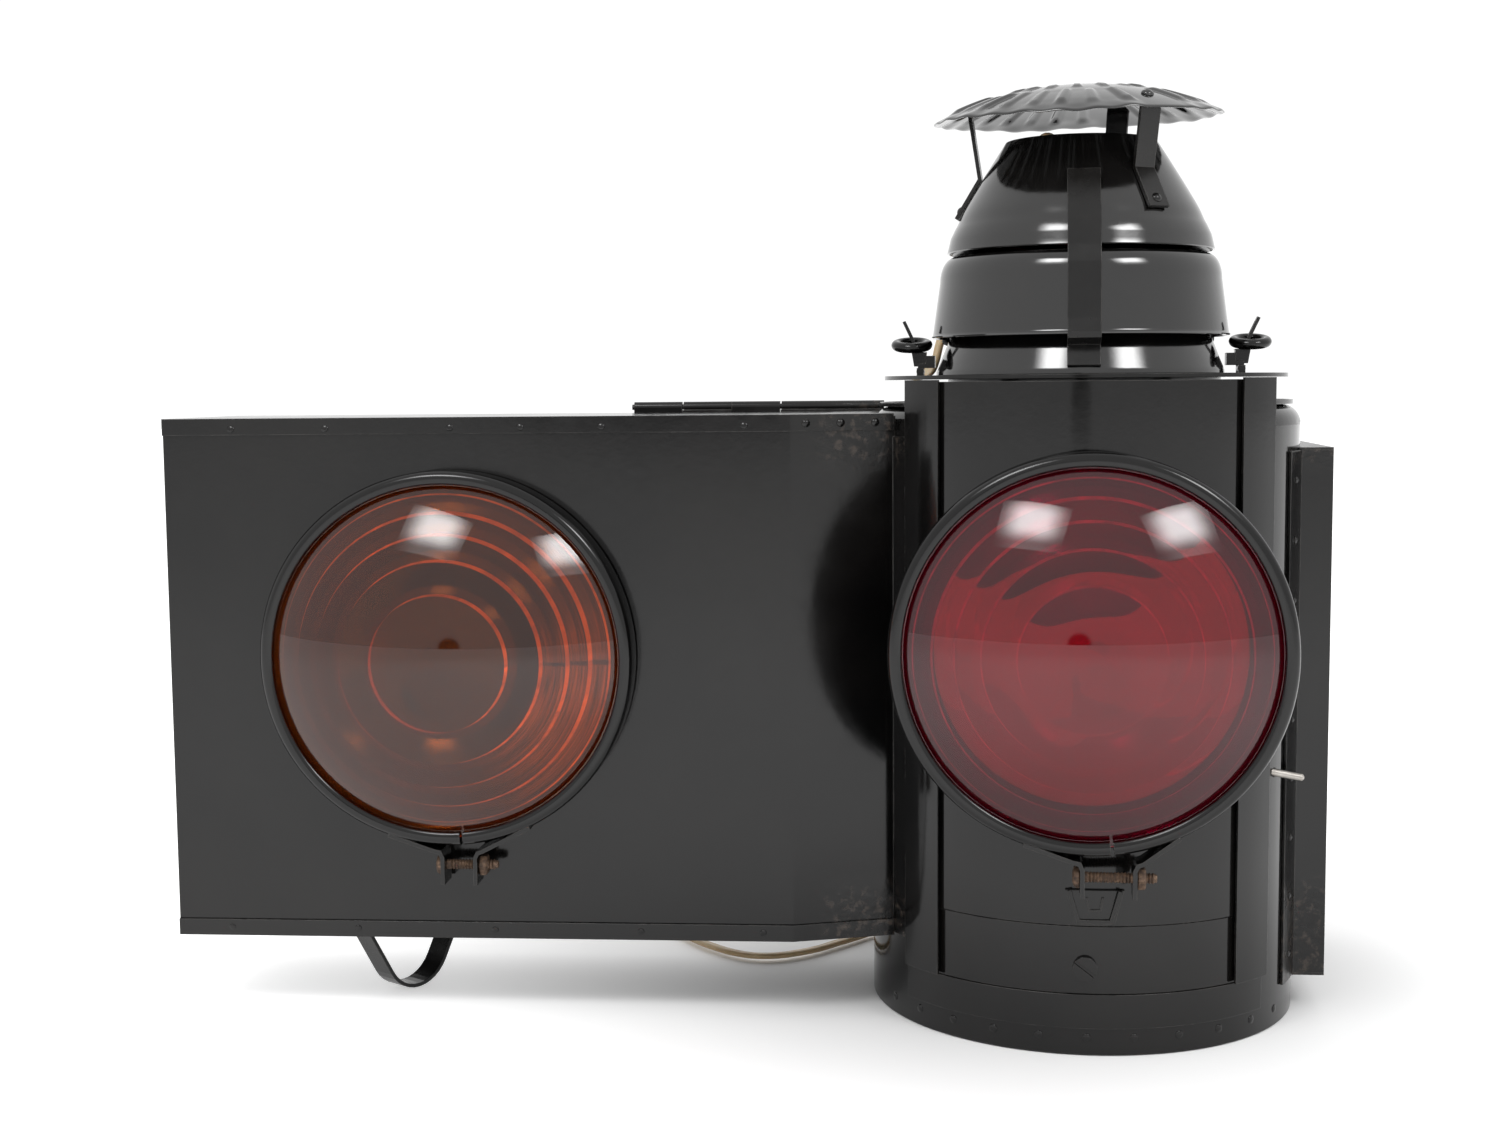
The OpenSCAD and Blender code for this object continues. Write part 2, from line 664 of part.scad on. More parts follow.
module smoke_cap() {
    color(paint) in_cap() intersection() {
        translate([0, 0, cap_h - cap_ball]) difference() {
            sphere(r = cap_ball);
            sphere(r = cap_ball - sheet_t);
        }
        translate([0, 0, -5]) cylinder(r = cap_r, h = 40);
    }
}
module cap_straps() {
    color(paint) for (a = cap_strap_a) difference() {
        about_vent(a) translate([0, cap_strap_w / 2, 0]) rotate([90, 0, 0])
            linear_extrude(height = cap_strap_w)
                polygon(ribbon([
                    [cone_at(cap_foot - cone_z) + 0.3, cap_foot], [cone_at(cap_knee - cone_z) + 0.3, cap_knee],
                    [cap_seat, cap_z + 12]], -cap_strap_t));
        in_cap() translate([0, 0, cap_h - cap_ball]) difference() {
            translate([0, 0, cap_ball]) cube([300, 300, 60], center = true);
            sphere(r = cap_ball - sheet_t - seat_gap);
        }
    }
}
module rivets() {
    color(paint) {
        // along the top hem of the panel that joins the wing
        in_wing() rotate([0, 0, neck_rel]) for (u = [6, 20, 34])
            translate([u, -sheet_t, wing_z1 - 3.4]) rotate([90, 0, 0]) rivet_head(1.7, 0.9);
        // down the hood's flange on the body
        for (k = [0:8]) rotate([0, 0, -21.5])
            translate([drum_r + seat_gap + sheet_t + 0.1, 0, hood_z0 + 12 + k * 23.6])
            rotate([0, 90, 0]) rivet_head(1.5, 0.8);
        // at the foot of each cap strap
        for (a = cap_strap_a) about_vent(a) {
            lean = atan2(cone_at(cap_foot - cone_z) - cone_at(cap_knee - cone_z), cap_knee - cap_foot);
            translate([cone_at(cap_foot - cone_z + 4) + 0.3 + cap_strap_t / cos(lean), 0, cap_foot + 4])
                rotate([0, 90 - lean, 0]) rivet_head(2.1, 1.2);
        }
        // on top of the smoke cap
        for (a = cap_strap_a) in_cap() translate([0, 0, cap_h - cap_ball]) rotate([0, 0, a])
            rotate([0, asin(0.76 * cap_r / cap_ball), 0]) translate([0, 0, cap_ball]) rivet_head(2.4, 1.4);
    }
}

// Ring catches: s is -1 on the left and 1 on the right
module catch_side_turn(s) { in_vent() rotate([0, 0, s < 0 ? 180 : 0]) children(); }
module catch_pins() {
    color(bare) for (s = [-1, 1]) catch_side_turn(s) {
        translate([catch_foot, 0, catch_axis_z]) {
            along_y(-catch_w / 2 - 1, catch_w / 2 + 1, catch_pin_r);
            for (y = [-catch_w / 2 - 1.2, catch_w / 2 + 0.2])
                translate([-1.4, y, vent_z - catch_axis_z]) cube([2.8, 1, catch_axis_z - vent_z + 1.4]);
        }
    }
}
module catch_body(s) {
    color(paint) catch_side_turn(s) difference() {
        union() {
            translate([catch_in, -catch_w / 2, vent_z + 3.3]) cube([3.8, catch_w, 5]);
            translate([catch_in + 3.4, -catch_w / 2, vent_z + 3.3]) cube([3.6, catch_w, 1.8]);
            translate([catch_foot, 0, catch_axis_z]) along_y(-catch_w / 2, catch_w / 2, catch_eye_r);
            translate([catch_foot - 1, -catch_w / 2, catch_axis_z]) cube([2, catch_w, 2]);
            translate([catch_foot + 0.4, 2.6, vent_z + 4]) rotate([90, 0, 0]) linear_extrude(height = 5.2)
                polygon([[-2.2, 0], [2.2, 0], [3.2, clip_h], [-3, clip_h]]);
            translate([0, 1.9, 0]) rotate([90, 0, 0]) linear_extrude(height = 3.8) polygon(ribbon(
                [[catch_foot + 1.2, vent_z + 9], [catch_foot + 7.4, vent_z + 22.2]], 1.3));
        }
        translate([catch_foot, 0, catch_axis_z]) along_y(-10, 10, catch_pin_r + 0.06);
        translate([0, 0.9, 0]) rotate([90, 0, 0]) linear_extrude(height = 1.8) polygon(ribbon(
            [[catch_foot + 4.4, vent_z + 14.2], [catch_foot + 7.2, vent_z + 20.4]], 2.6));
    }
}
module left_catch() { catch_body(-1); }
module right_catch() { catch_body(1); }
module pull_ring(s) {
    color(paint) in_vent() translate([s * ring_u, 0, ring_z]) rotate([ring_tip, 0, 0])
        rotate_extrude() translate([ring_mid, 0]) circle(r = ring_wire);
}
module left_ring() { pull_ring(-1); }
module right_ring() { pull_ring(1); }

// Lamp holder and bulb
module socket_bridge() {
    color(paint) translate([0, 0, bridge_z]) difference() {
        intersection() {
            translate([-neck_r, -7, 0]) cube([2 * neck_r, 14, 1.6]);
            translate([0, 0, -1]) cylinder(r = neck_r - sheet_t - seat_gap, h = 4);
        }
        translate([0, 0, -1]) cylinder(r = stud_r + seat_gap, h = 4);
    }
}
module main_socket() {
    color("#1d1a17") translate([0, 0, socket_top]) difference() {
        union() {
            translate([0, 0, -50]) cylinder(r = 15, h = 36);
            translate([0, 0, -14]) cylinder(r1 = 15, r2 = 6, h = 10);
            translate([0, 0, -4]) cylinder(r = stud_r, h = 4);
        }
        translate([0, 0, -51]) cylinder(r = 12.8, h = 30);
    }
}
module main_bulb() {
    color("#e8e4da") translate([0, 0, socket_top - 22]) {
        translate([0, 0, -30]) cylinder(r = 12.6, h = 30);
        translate([0, 0, -30 - bulb_r]) sphere(r = bulb_r + 3);
    }
}

// Flexible lead: one swept tube, then a coil, its tie and the plug
function tangent(p, i) = unit(p[min(i + 1, len(p) - 1)] - p[max(i - 1, 0)]);
function carry(n, t) = unit(n - (n * t) * t);
function normals(p, i, n) =
    i == len(p) ? [] : let (m = carry(n, tangent(p, i))) concat([m], normals(p, i + 1, m));
function sweep_points(p, r, sides) =
    let (ns = normals(p, 0, [1, 0, 0]))
    [for (i = [0:len(p) - 1]) let (t = tangent(p, i), n = ns[i], b = cross(t, n))
        for (k = [0:sides - 1]) p[i] + r * (cos(360 * k / sides) * n + sin(360 * k / sides) * b)];
function sweep_faces(rings, sides) = concat(
    [[for (k = [sides - 1:-1:0]) k]],
    [for (i = [0:rings - 2]) for (k = [0:sides - 1])
        let (a = i * sides + k, b = i * sides + (k + 1) % sides) [a, b, b + sides, a + sides]],
    [[for (k = [0:sides - 1]) (rings - 1) * sides + k]]);
module cord() {
    color("#b49a78") polyhedron(
        points = sweep_points(CORD_ROUTE, cord_r, cord_sides),
        faces = [for (f = sweep_faces(len(CORD_ROUTE), cord_sides)) [for (k = [len(f) - 1:-1:0]) f[k]]]);
}
module cord_coil() {
    color("#b49a78") translate([coil_at[0], coil_at[1], 0]) tube(coil_in, coil_out, coil_z0, coil_z1);
}
module cord_tie() {
    color("#222222") translate([coil_at[0], coil_at[1] - coil_out - tie_t - 0.1, 0]) difference() {
        translate([-tie_w / 2, 0, 0.1]) cube([tie_w, coil_out - coil_in + 2 * tie_t + 0.8, coil_z1 + 0.7]);
        translate([-tie_w, tie_t, 0.1 + tie_t]) cube([2 * tie_w, coil_out - coil_in + 0.8, coil_z1 - 0.5]);
    }
}
module plug() {
    color("#a98f6c") translate([plug_x, plug_y, 5.5]) rotate([90, 0, 0]) {
        cylinder(r1 = 2.8, r2 = 4.2, h = 8);
        translate([-7, -5, 8]) cube([14, 10, 20]);
    }
    color(bare) for (x = [-6.4, 6.4]) translate([plug_x + x - 0.75 * sign(x), plug_y - 36.5, 5.5])
        cube([1.5, 17, 6.3], center = true);
}

drum_shell();
drum_lid();
base_pan();
base_band();
guide_left();
guide_right();
door_panel();
door_tab();
red_collar();
red_gasket();
red_lens();
red_band();
red_bolt();
red_nut();
access_panel();
access_screw();
lock_pin();
wing_front();
wing_top();
wing_bottom();
wing_back();
wing_door();
wing_hinge_rod();
wing_mirror();
amber_collar();
amber_gasket();
amber_lens();
amber_band();
strap_loop();
rear_hood();
rear_hood_caps();
rear_collar();
rear_gasket();
rear_lens();
rear_band();
clamp_bolts();
clamp_nuts();
neck_tube();
flange_plate();
vent_skirt();
vent_bowl();
vent_cone();
vent_straps();
smoke_cap();
cap_straps();
rivets();
catch_pins();
left_catch();
right_catch();
left_ring();
right_ring();
socket_bridge();
main_socket();
main_bulb();
cord();
cord_coil();
cord_tie();
plug();
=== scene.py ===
import math

import bmesh
import bpy
import numpy as np
from mathutils import Matrix, Vector


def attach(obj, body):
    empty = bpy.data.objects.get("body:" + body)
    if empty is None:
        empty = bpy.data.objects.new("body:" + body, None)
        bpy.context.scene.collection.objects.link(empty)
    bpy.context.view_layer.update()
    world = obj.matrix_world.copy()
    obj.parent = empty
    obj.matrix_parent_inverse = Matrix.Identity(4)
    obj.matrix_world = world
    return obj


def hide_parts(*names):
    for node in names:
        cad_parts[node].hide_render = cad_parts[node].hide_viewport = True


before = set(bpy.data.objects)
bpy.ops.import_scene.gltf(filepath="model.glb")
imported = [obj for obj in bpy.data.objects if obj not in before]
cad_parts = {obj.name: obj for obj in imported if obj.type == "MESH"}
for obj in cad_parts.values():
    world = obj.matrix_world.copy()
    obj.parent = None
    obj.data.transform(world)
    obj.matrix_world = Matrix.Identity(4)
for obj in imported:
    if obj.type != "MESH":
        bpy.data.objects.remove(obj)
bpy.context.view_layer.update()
MM = 0.001
scene = bpy.context.scene
scene.view_settings.view_transform = "Standard"
scene.view_settings.look = "None"


# ---------------------------------------------------------------- camera
LENS = 46.52
SENSOR = 36
STANDS_AT = (-0.02867, -0.8085, 0.25228)
PITCH, YAW, ROLL = (math.radians(v) for v in (-5.33, 7.72, -0.49))


def make_camera():
    """Perspective camera, 0.81 m in front of the lamp, looking a little down and to the left."""
    data = bpy.data.cameras.new("camera")
    data.lens = LENS
    data.sensor_width = SENSOR
    data.clip_start = 0.01
    camera = bpy.data.objects.new("camera", data)
    scene.collection.objects.link(camera)
    look = Vector((-math.sin(YAW) * math.cos(PITCH), math.cos(YAW) * math.cos(PITCH), math.sin(PITCH)))
    right = Vector((math.cos(YAW), math.sin(YAW), 0))
    up = right.cross(look)
    level = math.cos(ROLL) * right + math.sin(ROLL) * up
    over = math.cos(ROLL) * up - math.sin(ROLL) * right
    turn = Matrix((level, over, -look)).transposed().to_4x4()
    camera.matrix_world = Matrix.Translation(STANDS_AT) @ turn
    scene.camera = camera


make_camera()


# ---------------------------------------------------------------- mesh helpers
def put_mesh(name, points, faces, material, smooth=True, uv=None):
    """A mesh object of that name from an array of points and a list of faces, all in metres."""
    mesh = bpy.data.meshes.new(name)
    mesh.from_pydata(np.asarray(points, dtype=float).tolist(), [], [list(map(int, f)) for f in faces])
    mesh.update()
    if smooth:
        mesh.polygons.foreach_set("use_smooth", np.ones(len(mesh.polygons), dtype=bool))
    if uv is not None:
        layer = mesh.uv_layers.new(name="along")
        index = np.empty(len(mesh.loops), dtype=np.int32)
        mesh.loops.foreach_get("vertex_index", index)
        layer.data.foreach_set("uv", np.asarray(uv, dtype=float)[index].ravel())
    mesh.materials.append(material)
    piece = bpy.data.objects.new(name, mesh)
    scene.collection.objects.link(piece)
    return piece


def grid_faces(rows, columns, wrap=False):
    """Quads of a grid of rows by columns points; wrap joins the last column to the first."""
    across = columns if wrap else columns - 1
    i, j = np.meshgrid(np.arange(rows - 1), np.arange(across), indexing="ij")
    a = i * columns + j
    b = i * columns + (j + 1) % columns
    return np.stack([a, b, b + columns, a + columns], axis=-1).reshape(-1, 4)


def smooth_line(points, step):
    """A curve through the points: cubic Hermite pieces on chord lengths, spaced evenly by step."""
    p = np.asarray(points, dtype=float)
    knots = lengths(p)
    slope = np.gradient(p, knots, axis=0)
    fine = np.linspace(0, knots[-1], int(knots[-1] / step * 4) + 2)
    k = np.clip(np.searchsorted(knots, fine, side="right") - 1, 0, len(p) - 2)
    h = (knots[k + 1] - knots[k])[:, None]
    t = ((fine - knots[k]) / h[:, 0])[:, None]
    line = (
        (2 * t**3 - 3 * t**2 + 1) * p[k]
        + (t**3 - 2 * t**2 + t) * h * slope[k]
        + (3 * t**2 - 2 * t**3) * p[k + 1]
        + (t**3 - t**2) * h * slope[k + 1]
    )
    run = lengths(line)
    even = np.linspace(0, run[-1], int(run[-1] / step) + 1)
    return np.stack([np.interp(even, run, line[:, i]) for i in range(3)], axis=1)


def lengths(line):
    """Distance along a line of points, from its first point to each one."""
    return np.concatenate([[0], np.cumsum(np.linalg.norm(np.diff(line, axis=0), axis=1))])


def carried_frames(line, side):
    """Tangents, and side vectors carried along the line without twist, starting from its last point."""
    tangent = np.gradient(line, axis=0)
    tangent /= np.linalg.norm(tangent, axis=1)[:, None]
    sides = np.empty_like(line)
    now = np.asarray(side, dtype=float)
    for i in range(len(line) - 1, -1, -1):
        now = now - now.dot(tangent[i]) * tangent[i]
        now /= np.linalg.norm(now)
        sides[i] = now
    return tangent, sides


def swept(name, line, profile, side, material):
    """A closed profile (across, up) carried along a line; the ends are closed flat."""
    tangent, sides = carried_frames(line, side)
    over = np.cross(sides, tangent)
    points = (
        line[:, None, :]
        + profile[None, :, 0:1] * sides[:, None, :]
        + profile[None, :, 1:2] * over[:, None, :]
    )
    n, m = points.shape[:2]
    faces = grid_faces(n, m, wrap=True).tolist()
    faces.append(list(range(m))[::-1])
    faces.append([(n - 1) * m + k for k in range(m)])
    uv = np.stack([np.repeat(lengths(line), m), np.tile(np.arange(m) / m, n)], axis=1)
    return put_mesh(name, points.reshape(-1, 3), faces, material, uv=uv)


def placed(origin, x, y, z):
    """A 4 by 4 placement whose columns are the three axes and the origin, in millimetres."""
    m = np.eye(4)
    m[:3, 0], m[:3, 1], m[:3, 2], m[:3, 3] = x, y, z, origin
    return m


def turned_by(axis, degrees):
    """Turn about axis 0, 1 or 2 as a 4 by 4 placement."""
    c, s = math.cos(math.radians(degrees)), math.sin(math.radians(degrees))
    m = np.eye(4)
    a, b = [(1, 2), (2, 0), (0, 1)][axis]
    m[a, a], m[a, b], m[b, a], m[b, b] = c, -s, s, c
    return m


def moved(x, y, z):
    """A shift as a 4 by 4 placement."""
    return placed((x, y, z), (1, 0, 0), (0, 1, 0), (0, 0, 1))


class Solid:
    """Closed surfaces gathered into one mesh, each given in millimetres in a frame of its own."""

    def __init__(self):
        self.points, self.faces, self.slots, self.uvs = [], [], [], []

    def add(self, points, faces, place=None, slots=0, uv=None):
        """Take in one surface; slots is one material slot, or one for each face."""
        points = np.asarray(points, dtype=float)
        if place is not None:
            points = points @ place[:3, :3].T + place[:3, 3]
        first = sum(len(p) for p in self.points)
        self.points.append(points)
        self.faces += [[int(v) + first for v in f] for f in faces]
        self.slots += [slots] * len(faces) if isinstance(slots, int) else list(slots)
        self.uvs.append(np.zeros((len(points), 2)) if uv is None else uv)

    def turned(self, profile, place=None, segments=144, start=0.0, sweep=360.0, shape=None, slots=0):
        """Profile points (r, z) turned about the axis: (r cos a, r sin a, z + shape(r, a)).
        A profile that starts and ends on the axis is closed by poles, any other one is a loop."""
        profile = np.asarray(profile, dtype=float)
        whole = sweep > 359.9
        steps = segments if whole else segments + 1
        a = np.radians(start + np.linspace(0, sweep, steps, endpoint=not whole))
        poles = profile[0, 0] == 0 and profile[-1, 0] == 0
        body = profile[1:-1] if poles else profile
        n, m = len(body), len(a)
        r, z = body[:, :1], body[:, 1:]
        lift = shape(r, a[None, :]) if shape else 0.0
        grid = np.stack([r * np.cos(a), r * np.sin(a), z + lift + 0 * a], axis=-1)
        uv = np.stack([np.tile(a / (2 * math.pi), n), np.repeat(body[:, 0] / 100, m)], axis=1)
        points = grid.reshape(-1, 3)
        faces, marks = [], []
        rows = n if not poles else n - 1
        across = m if whole else m - 1
        for i in range(rows):
            k = (i + 1) % n
            for j in range(across):
                q = (j + 1) % m
                faces.append([i * m + j, i * m + q, k * m + q, k * m + j])
            mark = slots if isinstance(slots, int) else slots[i + 1 if poles else i]
            marks += [mark] * across
        if poles:
            flat = isinstance(slots, int)
            points = np.concatenate([points, [[0, 0, profile[0, 1]], [0, 0, profile[-1, 1]]]])
            uv = np.concatenate([uv, [[0, 0], [0, 0]]])
            for j in range(m):
                q = (j + 1) % m
                faces.append([n * m, q, j])
                faces.append([n * m + 1, (n - 1) * m + j, (n - 1) * m + q])
                marks += [slots, slots] if flat else [slots[0], slots[-1]]
        elif not whole:
            faces.append([i * m for i in range(n)])
            faces.append([i * m + m - 1 for i in range(n)][::-1])
            marks += [0, 0]
        self.add(points, faces, place, marks, uv)

    def strip(self, path, thickness, z0, z1, place=None, slots=0):
        """A band of that thickness to the left of a flat path, carried from z0 to z1."""
        p = np.asarray(path, dtype=float)
        run = np.diff(p, axis=0)
        run /= np.linalg.norm(run, axis=1)[:, None]
        side = np.stack([-run[:, 1], run[:, 0]], axis=1)
        a, b = np.concatenate([side[:1], side]), np.concatenate([side, side[-1:]])
        m = (a + b) / np.linalg.norm(a + b, axis=1)[:, None]
        far = p + thickness * m / np.sum(m * a, axis=1)[:, None]
        n = len(p)
        loop = np.concatenate([p, far[::-1]])
        k = 2 * n
        points = np.concatenate([np.column_stack([loop, np.full(k, z)]) for z in (z0, z1)])
        faces = [[i, (i + 1) % k, k + (i + 1) % k, k + i] for i in range(k)]
        faces += [[i, k - 1 - i, k - 2 - i, i + 1] for i in range(n - 1)]
        faces += [[k + i, k + i + 1, 2 * k - 2 - i, 2 * k - 1 - i] for i in range(n - 1)]
        self.add(points, faces, place, slots)

    def dome(self, centre, out, radius, height, place=None, slots=0, sink=0.3):
        """A low rivet dome: radius falls as the cosine and height rises as the sine of the angle."""
        t = np.radians(np.linspace(0, 90, 6))
        profile = [(0, height)] + [(radius * math.sin(u), height * math.cos(u)) for u in t[1:]]
        profile += [(radius, -sink), (0, -sink)]
        out = np.asarray(out, dtype=float) / np.linalg.norm(out)
        x = np.cross((0, 0, 1), out) if abs(out[2]) < 0.9 else np.cross((1, 0, 0), out)
        x /= np.linalg.norm(x)
        local = placed(centre, x, np.cross(out, x), out)
        self.turned(profile, local if place is None else place @ local, 20, slots=slots)

    def build(self, name, materials, body, replaces=(), sharp=35):
        """Make the object, ride it on its body, and let it stand for the nodes it replaces."""
        points = np.concatenate(self.points) * MM
        piece = put_mesh(name, points, self.faces, materials[0], uv=np.concatenate(self.uvs))
        for material in materials[1:]:
            piece.data.materials.append(material)
        piece.data.polygons.foreach_set("material_index", np.array(self.slots, dtype=np.int32))
        outward(piece.data)
        piece.data.set_sharp_from_angle(angle=math.radians(sharp))
        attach(piece, body)
        if replaces:
            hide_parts(*replaces)
        return piece


def outward(mesh):
    """Every closed surface of the mesh faces outwards."""
    work = bmesh.new()
    work.from_mesh(mesh)
    bmesh.ops.recalc_face_normals(work, faces=work.faces)
    work.to_mesh(mesh)
    work.free()


# ---------------------------------------------------------------- material helpers
class Nodes:
    """A node tree wired by small calls, most of which return an output socket."""

    def __init__(self, tree):
        self.tree = tree

    def add(self, kind, **settings):
        node = self.tree.nodes.new(kind)
        for key, value in settings.items():
            setattr(node, key, value)
        return node

    def link(self, a, b):
        self.tree.links.new(a, b)

    def feed(self, socket, value):
        """Link an output socket to an input, or set the input to a number or a colour."""
        if isinstance(value, (int, float, tuple)):
            socket.default_value = value
        else:
            self.link(value, socket)

    def calc(self, kind, a, b=0.0):
        node = self.add("ShaderNodeMath", operation=kind)
        self.feed(node.inputs[0], a)
        self.feed(node.inputs[1], b)
        return node.outputs[0]

    def plus(self, a, b):
        return self.calc("ADD", a, b)

    def minus(self, a, b):
        return self.calc("SUBTRACT", a, b)

    def times(self, a, b):
        return self.calc("MULTIPLY", a, b)

    def parts(self, vector):
        node = self.add("ShaderNodeSeparateXYZ")
        self.link(vector, node.inputs[0])
        return node.outputs

    def step(self, value, low, high, bottom=0.0, top=1.0):
        """bottom below low, top above high, eased between; low above high turns it round."""
        node = self.add("ShaderNodeMapRange", interpolation_type="SMOOTHSTEP")
        self.feed(node.inputs["Value"], value)
        for key, level in (("From Min", low), ("From Max", high), ("To Min", bottom), ("To Max", top)):
            node.inputs[key].default_value = level
        return node.outputs[0]


class Shade(Nodes):
    """A node tree being built for one finish, on Object coordinates unless told otherwise."""

    def __init__(self, name):
        self.material = bpy.data.materials.new(name)
        self.material.use_nodes = True
        super().__init__(self.material.node_tree)
        self.tree.nodes.clear()
        self.out = self.add("ShaderNodeOutputMaterial")
        self.shader = self.add("ShaderNodeBsdfPrincipled")
        self.link(self.shader.outputs[0], self.out.inputs[0])
        self.place = self.add("ShaderNodeTexCoord").outputs["Object"]

    def set(self, **values):
        """Set inputs of the shader by name, with _ for a space."""
        for key, value in values.items():
            self.feed(self.shader.inputs[key.replace("_", " ")], value)

    def noise(self, scale, detail=4.0, rough=0.55, vector=None, stretch=None):
        source = vector or self.place
        if stretch:
            source = self.mapped(stretch, source)
        node = self.add("ShaderNodeTexNoise")
        node.inputs["Scale"].default_value = scale
        node.inputs["Detail"].default_value = detail
        node.inputs["Roughness"].default_value = rough
        self.link(source, node.inputs["Vector"])
        return node.outputs["Fac"]

    def cells(self, scale):
        """Distance to the nearest of scattered points."""
        node = self.add("ShaderNodeTexVoronoi", feature="F1")
        node.inputs["Scale"].default_value = scale
        self.link(self.place, node.inputs["Vector"])
        return node.outputs["Distance"]

    def mapped(self, scale, vector):
        """The vector stretched by a scale for each axis."""
        node = self.add("ShaderNodeMapping")
        node.inputs["Scale"].default_value = scale
        self.link(vector, node.inputs["Vector"])
        return node.outputs[0]

    def ramp(self, value, stops):
        """A colour or grey for each position, straight between them."""
        node = self.add("ShaderNodeValToRGB")
        marks = node.color_ramp.elements
        while len(marks) < len(stops):
            marks.new(0.5)
        for mark, (at, tone) in zip(marks, stops):
            mark.position = at
            mark.color = (*(tone if isinstance(tone, tuple) else (tone, tone, tone)), 1)
        self.link(value, node.inputs[0])
        return node.outputs[0]

    def mix(self, factor, a, b):
        """The output a turned to the plain colour b as the factor goes from 0 to 1."""
        node = self.add("ShaderNodeMix", data_type="RGBA", blend_type="MIX")
        self.feed(node.inputs[0], factor)
        self.feed(node.inputs[6], a)
        self.feed(node.inputs[7], (*b, 1))
        return node.outputs[2]

    def colour(self, value):
        self.feed(self.shader.inputs["Base Color"], value)

    def rough(self, value):
        self.feed(self.shader.inputs["Roughness"], value)

    def bump(self, height, distance, strength=1.0, edge=0.0):
        """Relief from a height; an edge radius above 0 also rounds the sharp edges."""
        node = self.add("ShaderNodeBump")
        node.inputs["Strength"].default_value = strength
        node.inputs["Distance"].default_value = distance
        self.link(height, node.inputs["Height"])
        if edge > 0:
            self.link(self.rounded(edge), node.inputs["Normal"])
        self.link(node.outputs[0], self.shader.inputs["Normal"])

    def rounded(self, radius):
        """The surface's normal, blended over its edges within the radius."""
        node = self.add("ShaderNodeBevel", samples=4)
        node.inputs["Radius"].default_value = radius
        return node.outputs[0]

    def edges(self, radius=0.0006):
        """Near 1 along sharp edges, where a rounded normal parts from the face's own."""
        dot = self.add("ShaderNodeVectorMath", operation="DOT_PRODUCT")
        self.link(self.rounded(radius), dot.inputs[0])
        self.link(self.add("ShaderNodeNewGeometry").outputs["Normal"], dot.inputs[1])
        return self.step(dot.outputs["Value"], 0.985, 0.86)


def mottled(name, colours, roughness, relief, **settings):
    """A finish whose colour, roughness and relief each follow a noise of their own: (noise, ramp)
    for the first two, (noise, distance, strength) for the relief."""
    s = Shade(name)
    s.colour(s.ramp(s.noise(*colours[0]), colours[1]))
    s.rough(s.ramp(s.noise(*roughness[0]), roughness[1]))
    s.set(**settings)
    s.bump(s.noise(*relief[0]), *relief[1:])
    return s.material


# ---------------------------------------------------------------- flexible lead
CORD_ROUTE = [
    (0, 0, 242), (0, 0, 262), (-1, 1, 284), (-3, 4, 306), (-6, 9, 328), (-9, 16, 344),
    (-12, 24, 353.5), (-16, 32, 355.5), (-21, 39, 350), (-26, 45, 338), (-30.5, 50, 324),
    (-35.5, 52.5, 309), (-43, 51, 297), (-51.5, 46, 287), (-57, 41, 278), (-60, 39, 270),
    (-61.6, 40.5, 263.5), (-63.6, 45, 259.4), (-66.6, 50, 258), (-69.4, 54.5, 255),
    (-71.6, 58, 249), (-73, 61, 240), (-74.2, 63, 222), (-75, 64, 190), (-76, 65, 140),
    (-77, 66, 90), (-78, 69, 50), (-79.5, 71.5, 26), (-83, 71.5, 12), (-88, 67.5, 4),
    (-94, 60.5, 2.2), (-100, 52, 2.2), (-107, 43, 2.2), (-114, 34, 2.2), (-122, 27, 2.2),
    (-131, 22, 2.2), (-141, 21, 2.2), (-151, 25, 2.2), (-160, 32, 2.2), (-169, 41, 2.2),
    (-177, 52, 2.2), (-184, 64, 2.2), (-187.6, 78, 2.2), (-188.8, 88, 2.2),
]
COIL_X, COIL_Y = -224, 98
COIL_TURNS = 5.1
LEAD_W = 4.8
LEAD_H = 2.8


def lead_line():
    """The route, then a coil of two layers, inwards on the ground and outwards above it, then the plug."""
    turns = np.linspace(0, COIL_TURNS, 5 * 24)
    inner, outer = 18.2, 30.4
    pitch = 4.95
    layer = 2.45
    radius = np.where(turns < layer, outer - pitch * turns, inner + pitch * (turns - layer - 0.15))
    radius = np.maximum(radius, inner)
    radius[0] = outer + 4
    radius[1:5] += (np.arange(4)[::-1] + 1) ** 1.5 * 0.42
    rise = np.clip((turns - layer + 0.12) / 0.3, 0, 1)
    height = 2.5 + 4.9 * (3 * rise**2 - 2 * rise**3)
    angle = 2 * math.pi * turns
    coil = np.stack([COIL_X + radius * np.cos(angle), COIL_Y + radius * np.sin(angle), height], axis=1)
    to_plug = [(-22, 29, 7.2), (-34.5, 24.5, 6.2), (-39.6, 14, 5.5), (-39.6, 7, 5.5)]
    last = np.array(to_plug) + (COIL_X, COIL_Y, 0)
    return smooth_line(np.concatenate([np.array(CORD_ROUTE), coil, last]), 2.2) * MM


def twin_profile(width, height, n=20):
    """Outline of a flat twin lead: two round cores side by side, pinched where they join."""
    a = np.linspace(0, 2 * math.pi, n, endpoint=False)
    x = width / 2 * np.cos(a)
    pinch = 0.72 + 0.28 * np.clip(np.abs(x) / (width * 0.27), 0, 1) ** 1.5
    return np.stack([x, height / 2 * np.sign(np.sin(a)) * np.abs(np.sin(a)) ** 0.75 * pinch], axis=1)


lead = lead_line()
